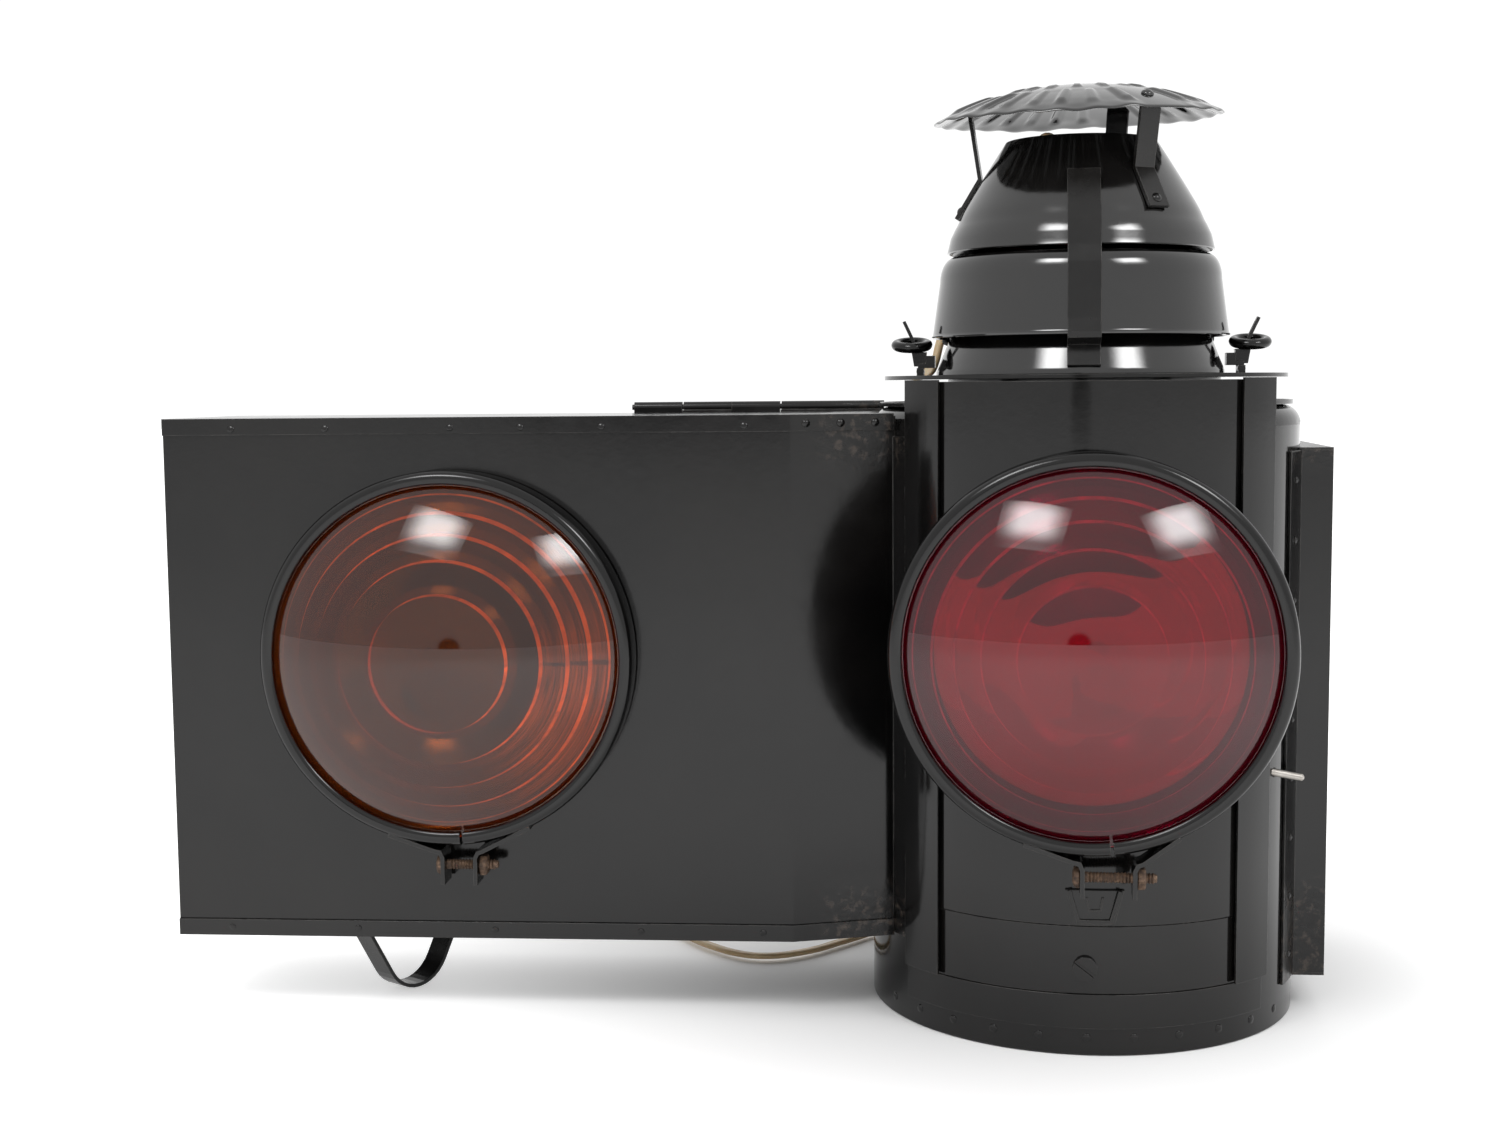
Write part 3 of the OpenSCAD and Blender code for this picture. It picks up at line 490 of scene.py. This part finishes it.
# aged tan vinyl that lets a little light in, slightly mottled and softly glossy
vinyl = mottled(
    "lead_vinyl",
    ((60, 5), [(0.3, (0.36, 0.25, 0.13)), (0.55, (0.46, 0.34, 0.19)), (0.75, (0.54, 0.43, 0.27))]),
    ((300, 3), [(0.3, 0.32), (0.7, 0.5)]),
    ((900, 3), 0.0001, 0.4), Subsurface_Weight=0.15, Subsurface_Scale=0.002)
cord = swept("lead", lead, twin_profile(LEAD_W * MM, LEAD_H * MM), (1, 0, 0), vinyl)
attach(cord, "lamp_body")
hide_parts("cord", "cord_coil")


# ---------------------------------------------------------------- studio
ROOM = 1.07  # brightness of the white room
STAND_DARK = 0.9  # share of the room's light that the stand hides
STAND = [  # the stand and its foot as ellipses of directions: x, z, half width, half height, soft edge
    (-0.052, -0.02, 0.080, 0.085, 0.22),
    (-0.12, -0.31, 0.13, 0.05, 0.5),
]
FLOOR_HALF = 12.0
FLOOR_Z = -0.0004
SOFTBOX_W, SOFTBOX_H, SOFTBOX_WATTS = 0.75, 0.55, 15
AIM = (0, 0, 0.18)


def make_floor():
    """A wide white floor just under the lamp; a painted glow brightens it and fades out close to the lamp,
    leaving a painted shade around the lamp.
    """
    s = Shade("studio_floor")
    x, y, _ = s.parts(s.place)
    away = s.calc("SQRT", s.plus(s.times(x, x), s.times(y, y)))
    # painted light and shade: the floor glows far off, less within 0.36 m of the lamp, not at all within
    # 0.085 m
    s.set(Emission_Color=(1, 1, 1, 1), Emission_Strength=s.times(s.step(away, 0.085, 0.36), 0.55))
    s.colour(s.ramp(s.noise(3, 2), [(0.3, 0.86), (0.7, 0.88)]))
    s.rough(0.7)
    s.set(Specular_IOR_Level=0.2)
    corners = [(FLOOR_HALF * x, FLOOR_HALF * y, FLOOR_Z) for x, y in ((-1, -1), (1, -1), (1, 1), (-1, 1))]
    floor = put_mesh("studio_floor", corners, [(0, 1, 2, 3)], s.material, smooth=False)


def make_softbox(name, place):
    """A soft rectangular light turned towards the lamp, fading at its edges."""
    data = bpy.data.lights.new(name, "AREA")
    data.shape = "RECTANGLE"
    data.size, data.size_y = SOFTBOX_W, SOFTBOX_H
    data.energy = SOFTBOX_WATTS
    data.use_nodes = True
    n = Nodes(data.node_tree)
    glow = next(node for node in n.tree.nodes if node.type == "EMISSION")
    across, along, _ = n.parts(n.add("ShaderNodeNewGeometry").outputs["Parametric"])
    fades = [
        n.step(n.calc("ABSOLUTE", n.minus(way, centre)), 0.5, 0.12, 0.12, 1.2)
        for way, centre in ((across, 0.5), (along, 0.62))
    ]
    n.link(n.times(*fades), glow.inputs["Strength"])
    lamp = bpy.data.objects.new(name, data)
    scene.collection.objects.link(lamp)
    lamp.location = place
    lamp.rotation_euler = (Vector(AIM) - Vector(place)).to_track_quat("-Z", "Y").to_euler()


def make_world():
    """White room all round, with the dark shape of a stand and its foot in front of the lamp."""
    world = bpy.data.worlds.new("studio")
    scene.world = world
    world.use_nodes = True
    n = Nodes(world.node_tree)
    n.tree.nodes.clear()
    out = n.add("ShaderNodeOutputWorld")
    sky = n.add("ShaderNodeBackground")
    n.link(sky.outputs[0], out.inputs[0])
    way = n.parts(n.add("ShaderNodeTexCoord").outputs["Generated"])

    def patch(x, z, wide, tall, soft):
        """1 inside an ellipse of directions in front of the lamp, 0 outside it."""
        u = n.calc("DIVIDE", n.minus(way[0], x), wide)
        v = n.calc("DIVIDE", n.minus(way[2], z), tall)
        far = n.calc("SQRT", n.plus(n.times(u, u), n.times(v, v)))
        return n.times(n.step(far, 1 + soft, 1 - soft), n.step(way[1], -0.5, -0.7))

    dark = n.calc("MAXIMUM", *(patch(*shape) for shape in STAND))
    n.feed(sky.inputs["Color"], (1, 1, 1, 1))
    n.feed(sky.inputs["Strength"], n.times(n.minus(1.0, n.times(dark, STAND_DARK)), ROOM))


make_floor()
make_world()
make_softbox("softbox_left", (-0.56, -1.15, 1.32))
make_softbox("softbox_right", (0.92, -0.98, 1.2))


# ---------------------------------------------------------------- finishes
WING_MID = 0.137  # height of the wing's middle


def gloss_paint(name, shine=0.1, wear=0.5, solder=False, edge=0.0005, shiny=0.35):
    """Thick black enamel brushed on by hand: faint runs, orange peel, dust and small rusty chips;
    solder adds lumps where the wing meets the body, at the top and bottom of the joint."""
    s = Shade(name)
    cloud = s.noise(14, 5)
    fine = s.noise(120, 4)
    base = s.ramp(cloud, [(0.3, (0.0011, 0.0011, 0.0012)), (0.7, (0.0022, 0.0021, 0.0021))])
    dust = s.step(s.noise(420, 3, 0.7), 0.66, 0.78)
    film = s.step(s.noise(7, 5, 0.6), 0.35, 0.75)
    dust_wear_and_highlight = s.mix(s.times(s.plus(s.times(dust, 0.5), film), 0.035 * wear), base, (0.17, 0.15, 0.13))
    spots = s.plus(s.cells(55), s.times(fine, 0.35))
    chip = s.step(spots, 0.175 + 0.02 * wear, 0.155 + 0.02 * wear)
    rust = s.times(chip, s.times(s.step(s.noise(9, 3), 0.56, 0.66), wear))
    runs = s.noise(26, 3, stretch=(1, 1, 0.3))
    relief = s.plus(s.times(s.noise(300, 2), 0.10), s.minus(runs, s.times(rust, 0.3)))
    cloudy = s.plus(s.times(cloud, 0.6), s.times(fine, 0.4))
    gloss = s.ramp(cloudy, [(0.35, shine * 0.7), (0.65, shine * 1.5)])
    if solder:
        x, _, z = s.parts(s.place)
        ends = s.step(s.calc("ABSOLUTE", s.minus(z, WING_MID)), 0.078, 0.094)
        spot = s.times(ends, s.step(x, -0.108, -0.094))
        lumps = s.times(spot, s.noise(190, 5, 0.6))
        relief = s.plus(relief, s.times(lumps, 3.0))
        specks = s.step(s.noise(330, 4), 0.5, 0.7)
        dust_wear_and_highlight = s.mix(s.times(spot, specks), dust_wear_and_highlight, (0.035, 0.027, 0.022))
        gloss = s.plus(gloss, s.times(lumps, 0.3))
    if edge > 0:
        # sharp edges painted lighter in patches: partly paint worn thin, partly a painted highlight along the
        # edges
        edge_wear_and_highlight = s.times(s.edges(), s.step(s.noise(60, 5, 0.7), 0.34, 0.6))
        dust_wear_and_highlight = s.mix(s.times(edge_wear_and_highlight, 0.6), dust_wear_and_highlight, (0.085, 0.080, 0.074))
        gloss = s.plus(gloss, s.times(edge_wear_and_highlight, 0.2))
    s.colour(s.mix(rust, dust_wear_and_highlight, (0.075, 0.035, 0.018)))
    s.rough(s.plus(gloss, s.times(rust, 0.4)))
    s.bump(relief, 0.0004, 0.30, edge)
    s.set(Specular_IOR_Level=shiny)
    return s.material


enamel = gloss_paint("black_enamel_body", 0.09, 0.5)
enamel_wing = gloss_paint("black_enamel_wing", 0.12, 0.6, solder=True)
enamel_vent = gloss_paint("black_enamel_vent", 0.09, 0.5, edge=0.0, shiny=0.75)
enamel_strap = gloss_paint("black_enamel_straps", 0.22, 1.0)

# bolt steel gone brown, darker in its pits
grain = (500, 6, 0.7)
rusty = mottled(
    "rusty_bolt_steel",
    (grain, [(0.3, (0.030, 0.022, 0.018)), (0.5, (0.085, 0.052, 0.034)), (0.72, (0.19, 0.12, 0.075))]),
    (grain, [(0.3, 0.75), (0.7, 0.45)]),
    (grain, 0.0003, 0.6), Metallic=0.55)
# drawn steel wire, polished by handling, with fine lengthwise scratches
scratches = (700, 4, 0.55, None, (0.1, 1, 1))
bare = mottled(
    "bare_steel_wire",
    ((90, 4), [(0.35, (0.22, 0.20, 0.18)), (0.65, (0.44, 0.42, 0.39))]),
    (scratches, [(0.3, 0.22), (0.7, 0.42)]),
    (scratches, 0.00005, 0.4), Metallic=1.0)
rubber = mottled(
    "perished_rubber",
    ((200, 5), [(0.3, 0.012), (0.7, (0.035, 0.033, 0.03))]),
    ((350, 3), [(0.3, 0.6), (0.7, 0.85)]),
    ((600, 4), 0.0002, 0.5))
# brown-black moulded lamp holder and plug, softly glossy
holder = mottled(
    "moulded_holder",
    ((45, 5, 0.65), [(0.35, (0.020, 0.011, 0.006)), (0.65, (0.05, 0.024, 0.012))]),
    ((400, 3), [(0.3, 0.22), (0.7, 0.36)]),
    ((350, 3), 0.0001, 0.3))
# silvered sheet, a little tarnished
silvered = mottled(
    "silvered_sheet",
    ((22, 5), [(0.35, (0.55, 0.54, 0.50)), (0.7, (0.85, 0.85, 0.84))]),
    ((40, 5), [(0.4, 0.06), (0.75, 0.2)]),
    ((15, 2), 0.0002, 0.2), Metallic=1.0)
frosted = mottled(
    "frosted_glass",
    ((80, 4), [(0.3, (0.78, 0.77, 0.72)), (0.7, (0.88, 0.87, 0.83))]),
    ((500, 2), [(0.3, 0.3), (0.7, 0.45)]),
    ((1200, 2), 0.00003, 0.3), Subsurface_Weight=0.3, Subsurface_Scale=0.004)

FINISH = {
    enamel: ["drum_shell", "drum_lid", "base_pan", "base_band", "guide_left", "guide_right", "door_panel",
        "door_tab", "red_collar", "access_panel", "access_screw", "neck_tube", "flange_plate",
        "rear_collar", "rivets", "left_ring", "right_ring"],
    enamel_wing: ["wing_front", "wing_top", "wing_bottom", "wing_back", "wing_door", "amber_collar",
        "rear_hood", "rear_hood_caps"],
    enamel_strap: ["strap_loop", "vent_straps", "cap_straps", "left_catch", "right_catch",
        "wing_hinge_rod", "catch_pins"],
    bare: ["lock_pin", "socket_bridge"],
    rubber: ["red_gasket", "amber_gasket", "rear_gasket", "cord_tie"],
    holder: ["main_socket", "plug"],
    silvered: ["wing_mirror"],
    frosted: ["main_bulb"],
}
for finish, nodes in FINISH.items():
    for node in nodes:
        for slot in bpy.data.objects[node].material_slots:
            slot.material = finish


# ---------------------------------------------------------------- lenses and their clamp bands
GLASS = dict(IOR=1.5, Specular_IOR_Level=0.32)


def tinted_glass(name, tint, deep, body):
    """Pressed signal glass, coloured through, a little uneven in tint and polish; body is the share
    of light that stays in the glass instead of going through it."""
    s = Shade(name)
    s.colour(s.ramp(s.noise(35, 3), [(0.3, tint), (0.7, deep)]))
    s.rough(s.ramp(s.noise(150, 3), [(0.4, 0.0), (0.8, 0.04)]))
    s.set(Transmission_Weight=1.0 - body, **GLASS)
    s.bump(s.noise(30, 2), 0.0002, 0.05)
    return s.material


def ring_glass(name, tint, glow, streaks=0.0, clear=0.5):
    """The steps pressed into the back of the glass, given a painted glow: emission standing in for the light
    they catch, as thin bright rings, and painted brighter streaks on one side for light coming in from the
    round body."""
    s = Shade(name)
    s.colour(s.ramp(s.noise(90, 4), [(0.3, tint), (0.7, tuple(0.7 * c for c in tint))]))
    s.rough(0.12)
    uv = s.add("ShaderNodeUVMap", uv_map="along").outputs[0]
    turn = s.parts(uv)[0]
    shimmer = s.noise(9, 4, 0.7, uv, (5, 1, 1))
    # painted light: the steps glow by emission in thin bright rings
    light = s.times(s.ramp(shimmer, [(0.35, 0.35), (0.65, 1.0)]), glow)
    if streaks:
        # painted light: brighter glowing streaks on one side of the glass
        off = s.calc("ABSOLUTE", s.minus(s.calc("FRACT", s.plus(turn, 0.5)), 0.44))
        lines = s.ramp(s.noise(5, 5, 0.75, uv, (2.0, 26, 1)), [(0.42, 0.0), (0.62, 0.35), (0.74, 1.0)])
        light = s.plus(light, s.times(s.times(s.step(off, 0.16, 0.02), lines), streaks))
    s.set(Emission_Color=(*tint, 1), Emission_Strength=light, Transmission_Weight=clear, **GLASS)
    return s.material


WING_TURN = 3.5  # degrees that the wing turns back from straight across
BEND = (-114.04, -58.66, 0)  # foot of the fold where the wing leaves the body
IN_WING = moved(*BEND) @ turned_by(2, WING_TURN)
AT_RED = moved(0, -98, 154.3) @ turned_by(0, 90)
AT_AMBER = IN_WING @ moved(-135, -8.2, 147.3) @ turned_by(0, 90)
AT_REAR = moved(18.5, 108.2, 132) @ turned_by(2, 180) @ turned_by(0, 90)
BAND_R = 73.8
BAND_T = 1.2
DOME_R = 68.0
DOME_H = 22.0
DOME_BALL = (DOME_R**2 + DOME_H**2) / (2 * DOME_H)
RIM_R = 71.0
RIM_T = 5.5
ZONES = [DOME_R * share for share in (0, 0.382, 0.566, 0.706, 0.824, 0.93)]
ZONE_T = 6.0  # glass at a zone's outer edge; twice that at its inner edge


def dome_at(r):
    """Height of the dome over the seat: a ball of radius DOME_BALL standing DOME_H over the rim."""
    return RIM_T + DOME_H - DOME_BALL + math.sqrt(DOME_BALL**2 - r**2)


def make_lens(name, place, body, glasses, node):
    """Dome outside; inside, five zones each ZONE_T thick at the outer edge and twice that at the inner.
    The three glasses are for the body, the steps between zones and the outer zones."""
    profile = [(0, dome_at(0))] + [(r, dome_at(r)) for r in np.linspace(2, DOME_R, 34)]
    profile += [(69.2, RIM_T), (70.5, 5.2), (RIM_R, 4.6), (RIM_R, 0.6), (70.6, 0.1), (ZONES[5], 0.0)]
    marks = [0] * len(profile)
    for i in range(4, -1, -1):
        outer, inner = ZONES[i + 1], ZONES[i]
        marks[-1] = 1
        profile.append((outer, dome_at(outer) - ZONE_T))
        marks.append(2 if i > 1 else 0)
        for t in (0.2, 0.4, 0.6, 0.8, 1.0):
            r = outer + (inner - outer) * t
            profile.append((r, dome_at(r) - ZONE_T * (1 + t) + (1.5 * t if i == 0 else 0)))
            marks.append(2 if i > 1 and t < 1 else 0)
    lens = Solid()
    lens.turned(profile, place, 160, slots=marks)
    lens.build(name, glasses, body, (node,))


def make_band(name, place, body, gap, node):
    """Rolled sheet ring with a rounded shoulder, split beside its two bent ears, gap apart."""
    shoulder = [
        (BAND_R - 3 + 3 * math.cos(t), 4.8 + 3 * math.sin(t)) for t in np.radians(np.linspace(0, 90, 7))
    ]
    lip = [(69.6, 7.7), (68.8, 7.35), (68.5, 6.9), (68.7, 6.5), (69.4, 6.5), (71.2, 5.9), (72.3, 4.9)]
    inside = BAND_R - BAND_T
    profile = [(73.4, -6.2), (BAND_R, -5.7)] + shoulder + lip + [(inside, 4.2), (inside, -6.2)]
    open_a = math.degrees(math.asin((gap / 2 + BAND_T) / BAND_R))
    open_b = math.degrees(math.asin((gap / 2) / BAND_R))
    band = Solid()
    band.turned(profile, place, 150, -90 + open_a, 360 - open_a + open_b)
    low, end, ear = -BAND_R - 2.8, -BAND_R - 15.7, BAND_R + 0.8

    def on_band(degrees):
        """Point on the band's outer face at that angle."""
        return ear * math.cos(math.radians(degrees)), ear * math.sin(math.radians(degrees))

    left = [on_band(-109), (-6.4, low - 0.1), (-4.2, low - 0.6), (-3.4, low - 2.4), (-3.4, end)]
    right = [(1.6, end), (1.6, low - 2.4), (2.4, low - 0.8), (4.2, low - 0.1)]
    for path in (left, [(gap + x, y) for x, y in right] + [on_band(-64)]):
        band.strip(path, 1.6, -5.2, 6.8, place)
    band.build(name, [enamel], body, (node,))


BOLT_DROP = BAND_R + 8.7
THREAD_PITCH = 1.25


def bolt_into(solid, place, gap):
    """Round-headed bolt along the local X; its thread's crests stand THREAD_PITCH apart."""
    along = place @ moved(-3.5, -BOLT_DROP, 0.8) @ turned_by(1, 90)
    length = gap + 12.5
    crests = np.arange(3.5, length - 0.8, THREAD_PITCH / 2)
    thread = [(2.1 if i % 2 else 1.62, z) for i, z in enumerate(crests)]
    profile = [(0, -2.6), (2.0, -2.55), (3.4, -2.1), (4.1, -1.2), (4.2, -0.3), (4.0, 0), (2.0, 0), (2.0, 3.2)]
    profile += thread + [(1.5, length - 0.2), (1.2, length), (0, length)]
    solid.turned(profile, along, 24)


def nut_into(solid, place, gap):
    """Hexagonal nut with chamfered corners."""
    along = place @ moved(gap + 1.65, -BOLT_DROP, 0.8) @ turned_by(1, 90)
    bore, mouth, face, corner, high = 2.15, 2.5, 3.8, 4.4, 3.2
    low_half = [(bore, 0.2), (mouth, 0), (face, 0), (corner, 0.5)]
    solid.turned(low_half + [(r, high - z) for r, z in low_half[::-1]], along, 6)


ruby = tinted_glass("ruby_glass", (0.36, 0.004, 0.030), (0.30, 0.003, 0.024), 0.05)
# the ring and streak glasses glow: painted light
ruby_rings = ring_glass("ruby_glass_glowing_rings", (0.55, 0.010, 0.07), 0.55)
amber = tinted_glass("amber_glass", (0.44, 0.10, 0.012), (0.38, 0.08, 0.010), 0.03)
amber_rings = ring_glass("amber_glass_glowing_rings", (0.90, 0.21, 0.012), 0.5, 2.0)
amber_zones = ring_glass("amber_glass_glowing_streaks", (0.62, 0.17, 0.012), 0.0, 1.6, 0.97)

red_glass, amber_glass = (ruby, ruby_rings, ruby), (amber, amber_rings, amber_zones)
make_lens("red_signal_lens", AT_RED, "lens_door", red_glass, "red_lens")
make_lens("rear_signal_lens", AT_REAR, "lamp_body", red_glass, "rear_lens")
make_lens("amber_signal_lens", AT_AMBER, "lamp_body", amber_glass, "amber_lens")
GAP_RED, GAP = 15.6, 9.6  # between the ears of a clamp band
make_band("red_clamp_band", AT_RED, "lens_door", GAP_RED, "red_band")
make_band("amber_clamp_band", AT_AMBER, "lamp_body", GAP, "amber_band")
make_band("rear_clamp_band", AT_REAR, "lamp_body", GAP, "rear_band")
for name, body, node, part, gaps in (
    ("red_clamp_bolt", "lens_door", "red_bolt", bolt_into, [(AT_RED, GAP_RED)]),
    ("red_clamp_nut", "lens_door", "red_nut", nut_into, [(AT_RED, GAP_RED)]),
    ("side_clamp_bolts", "lamp_body", "clamp_bolts", bolt_into, [(AT_AMBER, GAP), (AT_REAR, GAP)]),
    ("side_clamp_nuts", "lamp_body", "clamp_nuts", nut_into, [(AT_AMBER, GAP), (AT_REAR, GAP)]),
):
    piece = Solid()
    for place, gap in gaps:
        part(piece, place, gap)
    piece.build(name, [rusty], body, (node,))


# ---------------------------------------------------------------- ventilator
VENT_Z, BOWL_Z, CONE_Z, CAP_Z = 256.2, 271.9, 305.6, 359.6
AT_VENT = moved(-1.7, 0, 0)
AT_CAP = moved(-3, 0, CAP_Z) @ turned_by(1, -1) @ turned_by(0, 3.6)
CAP_R, CAP_H = 58.3, 13.4
CAP_BALL = (CAP_R**2 + CAP_H**2) / (2 * CAP_H)
CAP_STRAP_A = (-55, 68, 176)


def cone_at(z):
    """Radius of the cone: a short near-upright band, then a slightly swelling slope."""
    t = (z - 9.5) / 35.5
    return 53.7 - 2.2 * z / 9.5 if t < 0 else 51.5 - 21.8 * t * (0.94 + 0.06 * t)


def bowl_at(z):
    """Radius of the bowl: a side drawn in 3 mm over 22 mm, then a quarter-round shoulder 5.4 mm deep."""
    t = np.clip((z - 22) / 10, 0, 1)
    return 59.6 - 3 * np.clip(z / 22, 0, 1) - 5.4 * (1 - np.sqrt(1 - t**2))


def sheet_loop(outer, t=1.0):
    """A closed profile from its outer face and a thickness inwards, its two ends rounded."""
    p = np.asarray(outer, dtype=float)
    run = np.gradient(p, axis=0)
    run /= np.linalg.norm(run, axis=1)[:, None]
    inner = p + t * np.stack([-run[:, 1], run[:, 0]], axis=1)
    first = (p[0] + inner[0]) / 2 - run[0] * t * 0.3
    last = (p[-1] + inner[-1]) / 2 + run[-1] * t * 0.3
    return np.concatenate([p, [last], inner[::-1], [first]])


def make_vent():
    """Skirt, bell-shaped bowl and swelling cone, each a thin turned sheet."""
    skirt = [(58, 0.3), (58, 1.5)] + [(58 - 9 * t, 1.5 + 22.5 * t) for t in np.linspace(0.05, 0.94, 12)]
    skirt += [(49.0, 23.6), (48.0, 24.0), (46, 24.0), (43.3, 24.0)]
    bowl = [(60.0, -0.35), (60.1, 0.15), (59.6, 0.6)] + [(bowl_at(z), z) for z in np.linspace(1.4, 22, 10)]
    shoulder = 22 + 10 * np.sin(np.radians(np.linspace(8, 88, 12)))
    bowl += [(bowl_at(z), z) for z in shoulder] + [(49.6, 32.1), (46.3, 32.3)]
    cone = [(53.7, 0.3)] + [(cone_at(z), z) for z in np.linspace(1.2, 6.0, 5)]
    groove = [(cone_at(z) - 0.8 * math.exp(-(((z - 10.5) / 4.5) ** 2)), z) for z in np.linspace(9, 22, 16)]
    cone += groove + [(cone_at(z), z) for z in np.linspace(23, 44.2, 20)]
    for part, outer, z in (("skirt", skirt, VENT_Z), ("bowl", bowl, BOWL_Z), ("cone", cone, CONE_Z)):
        piece = Solid()
        piece.turned(sheet_loop(outer), AT_VENT @ moved(0, 0, z), 180)
        piece.build("ventilator_" + part, [enamel_vent], "lamp_body", ("vent_" + part,), 50)


def cap_relief(r, a):
    """Pressed ribs: 26 radial pulses between radii 33 and 53, a scalloped rim, a few hand dents;
    all fade out at the three straps."""

    def between(r0, ease0, r1, ease1):
        """1 from r0 + ease0 to r1 - ease1, fading to 0 at r0 and r1."""
        return np.clip((r - r0) / ease0, 0, 1) * np.clip((r1 - r) / ease1, 0, 1)

    degrees = np.degrees(a)
    clear = np.ones_like(a * r)
    for strap in CAP_STRAP_A:
        off = np.abs((degrees - strap + 180) % 360 - 180)
        clear = clear * np.clip((off - 7) / 5, 0, 1)
    wander = 0.9 * np.sin(3 * a) + 0.03 * (r - 43) * np.sin(7 * a)
    pulse = np.clip(1.6 * np.cos(26 * a + wander) - 0.35, -0.15, 1) * (0.75 + 0.25 * np.sin(11 * a + 2))
    skew = 0.30 * np.sin(5 * a + 1.0) + 0.25 * np.sin(9 * a)
    inner = between(20, 3, 30, 3) * np.clip(1.6 * np.cos(16 * a + 0.6) - 0.3, 0, 1)
    rim = np.clip((r - 47) / 9, 0, 1) ** 2 * (0.35 * np.cos(26 * a + 0.8) + skew)
    return clear * (1.15 * between(33, 4, 53.5, 3.5) * pulse + 0.8 * inner + rim * 0.8) - 0.15


def make_cap():
    """Thin spun cap on a ball of radius CAP_BALL, with generic pressed ribs and a rivet on each strut."""

    def ball(r, drop):
        """Height of a ball drop lower than the cap's own, at radius r."""
        return CAP_H - CAP_BALL + np.sqrt((CAP_BALL - drop) ** 2 - r**2)

    radii = np.concatenate([[3, 8, 13, 17], np.arange(19, 57.6, 1.1)])
    top = [(r, ball(r, 0.2)) for r in [0, *radii]]
    edge = [(57.9, ball(57.9, drop)) for drop in (0.45, 0.8)]
    under = [(r, ball(r, 1.0)) for r in [*radii[::-1], 0]]
    cap = Solid()
    cap.turned(top + edge + under, AT_CAP, 416, shape=cap_relief)
    u = math.asin(0.76 * CAP_R / CAP_BALL)
    for a in np.radians(CAP_STRAP_A):
        out = np.array([math.sin(u) * math.cos(a), math.sin(u) * math.sin(a), math.cos(u)])
        cap.dome(out * CAP_BALL + (0, 0, CAP_H - CAP_BALL), out, 2.5, 1.3, AT_CAP)
    cap.build("ribbed_smoke_cap", [enamel_vent], "lamp_body", ("smoke_cap",), 60)


make_vent()
make_cap()


# ---------------------------------------------------------------- small raised marks
DRUM_R = 86.0


def make_marks():
    """Spot-weld dimples along the wing's two hems and the foot ring, and the ridge on the pull tab."""
    marks = Solid()
    for xs, z, tilt, radius, height in (
        ((-222, -184, -134, -106, -74, -18), 237.6, 0.25, 1.5, 0.55),
        ((-228, -176, -120, -61, -12), 35.9, -0.2, 1.4, 0.45),
    ):
        for x in xs:
            marks.dome((x, -1.02, z), (0, -1, tilt), radius, height, IN_WING)
    for a in range(-150, -24, 12):
        c, s = math.cos(math.radians(a)), math.sin(math.radians(a))
        marks.dome((DRUM_R * c, DRUM_R * s, 6.6), (c, s, 0), 1.7, 0.5)
    marks.build("spot_welds", [enamel], "lamp_body", ())
    ridge = Solid()
    out = placed((2.6, 0, 0), (1, 0, 0), (0, 0, 1), (0, -1, 0))
    ridge.strip([(-10.2, 64.0), (-6.7, 51.6), (6.7, 51.6), (10.2, 64.0)], 1.5, 88.0, 89.9, out)
    ridge.strip([(-3.4, 61.5), (-2.4, 56.2), (2.4, 56.2), (3.4, 61.5)], 0.8, 88.4, 89.6, out)
    ridge.build("keystone_ridge", [enamel_strap], "lens_door", ())


make_marks()
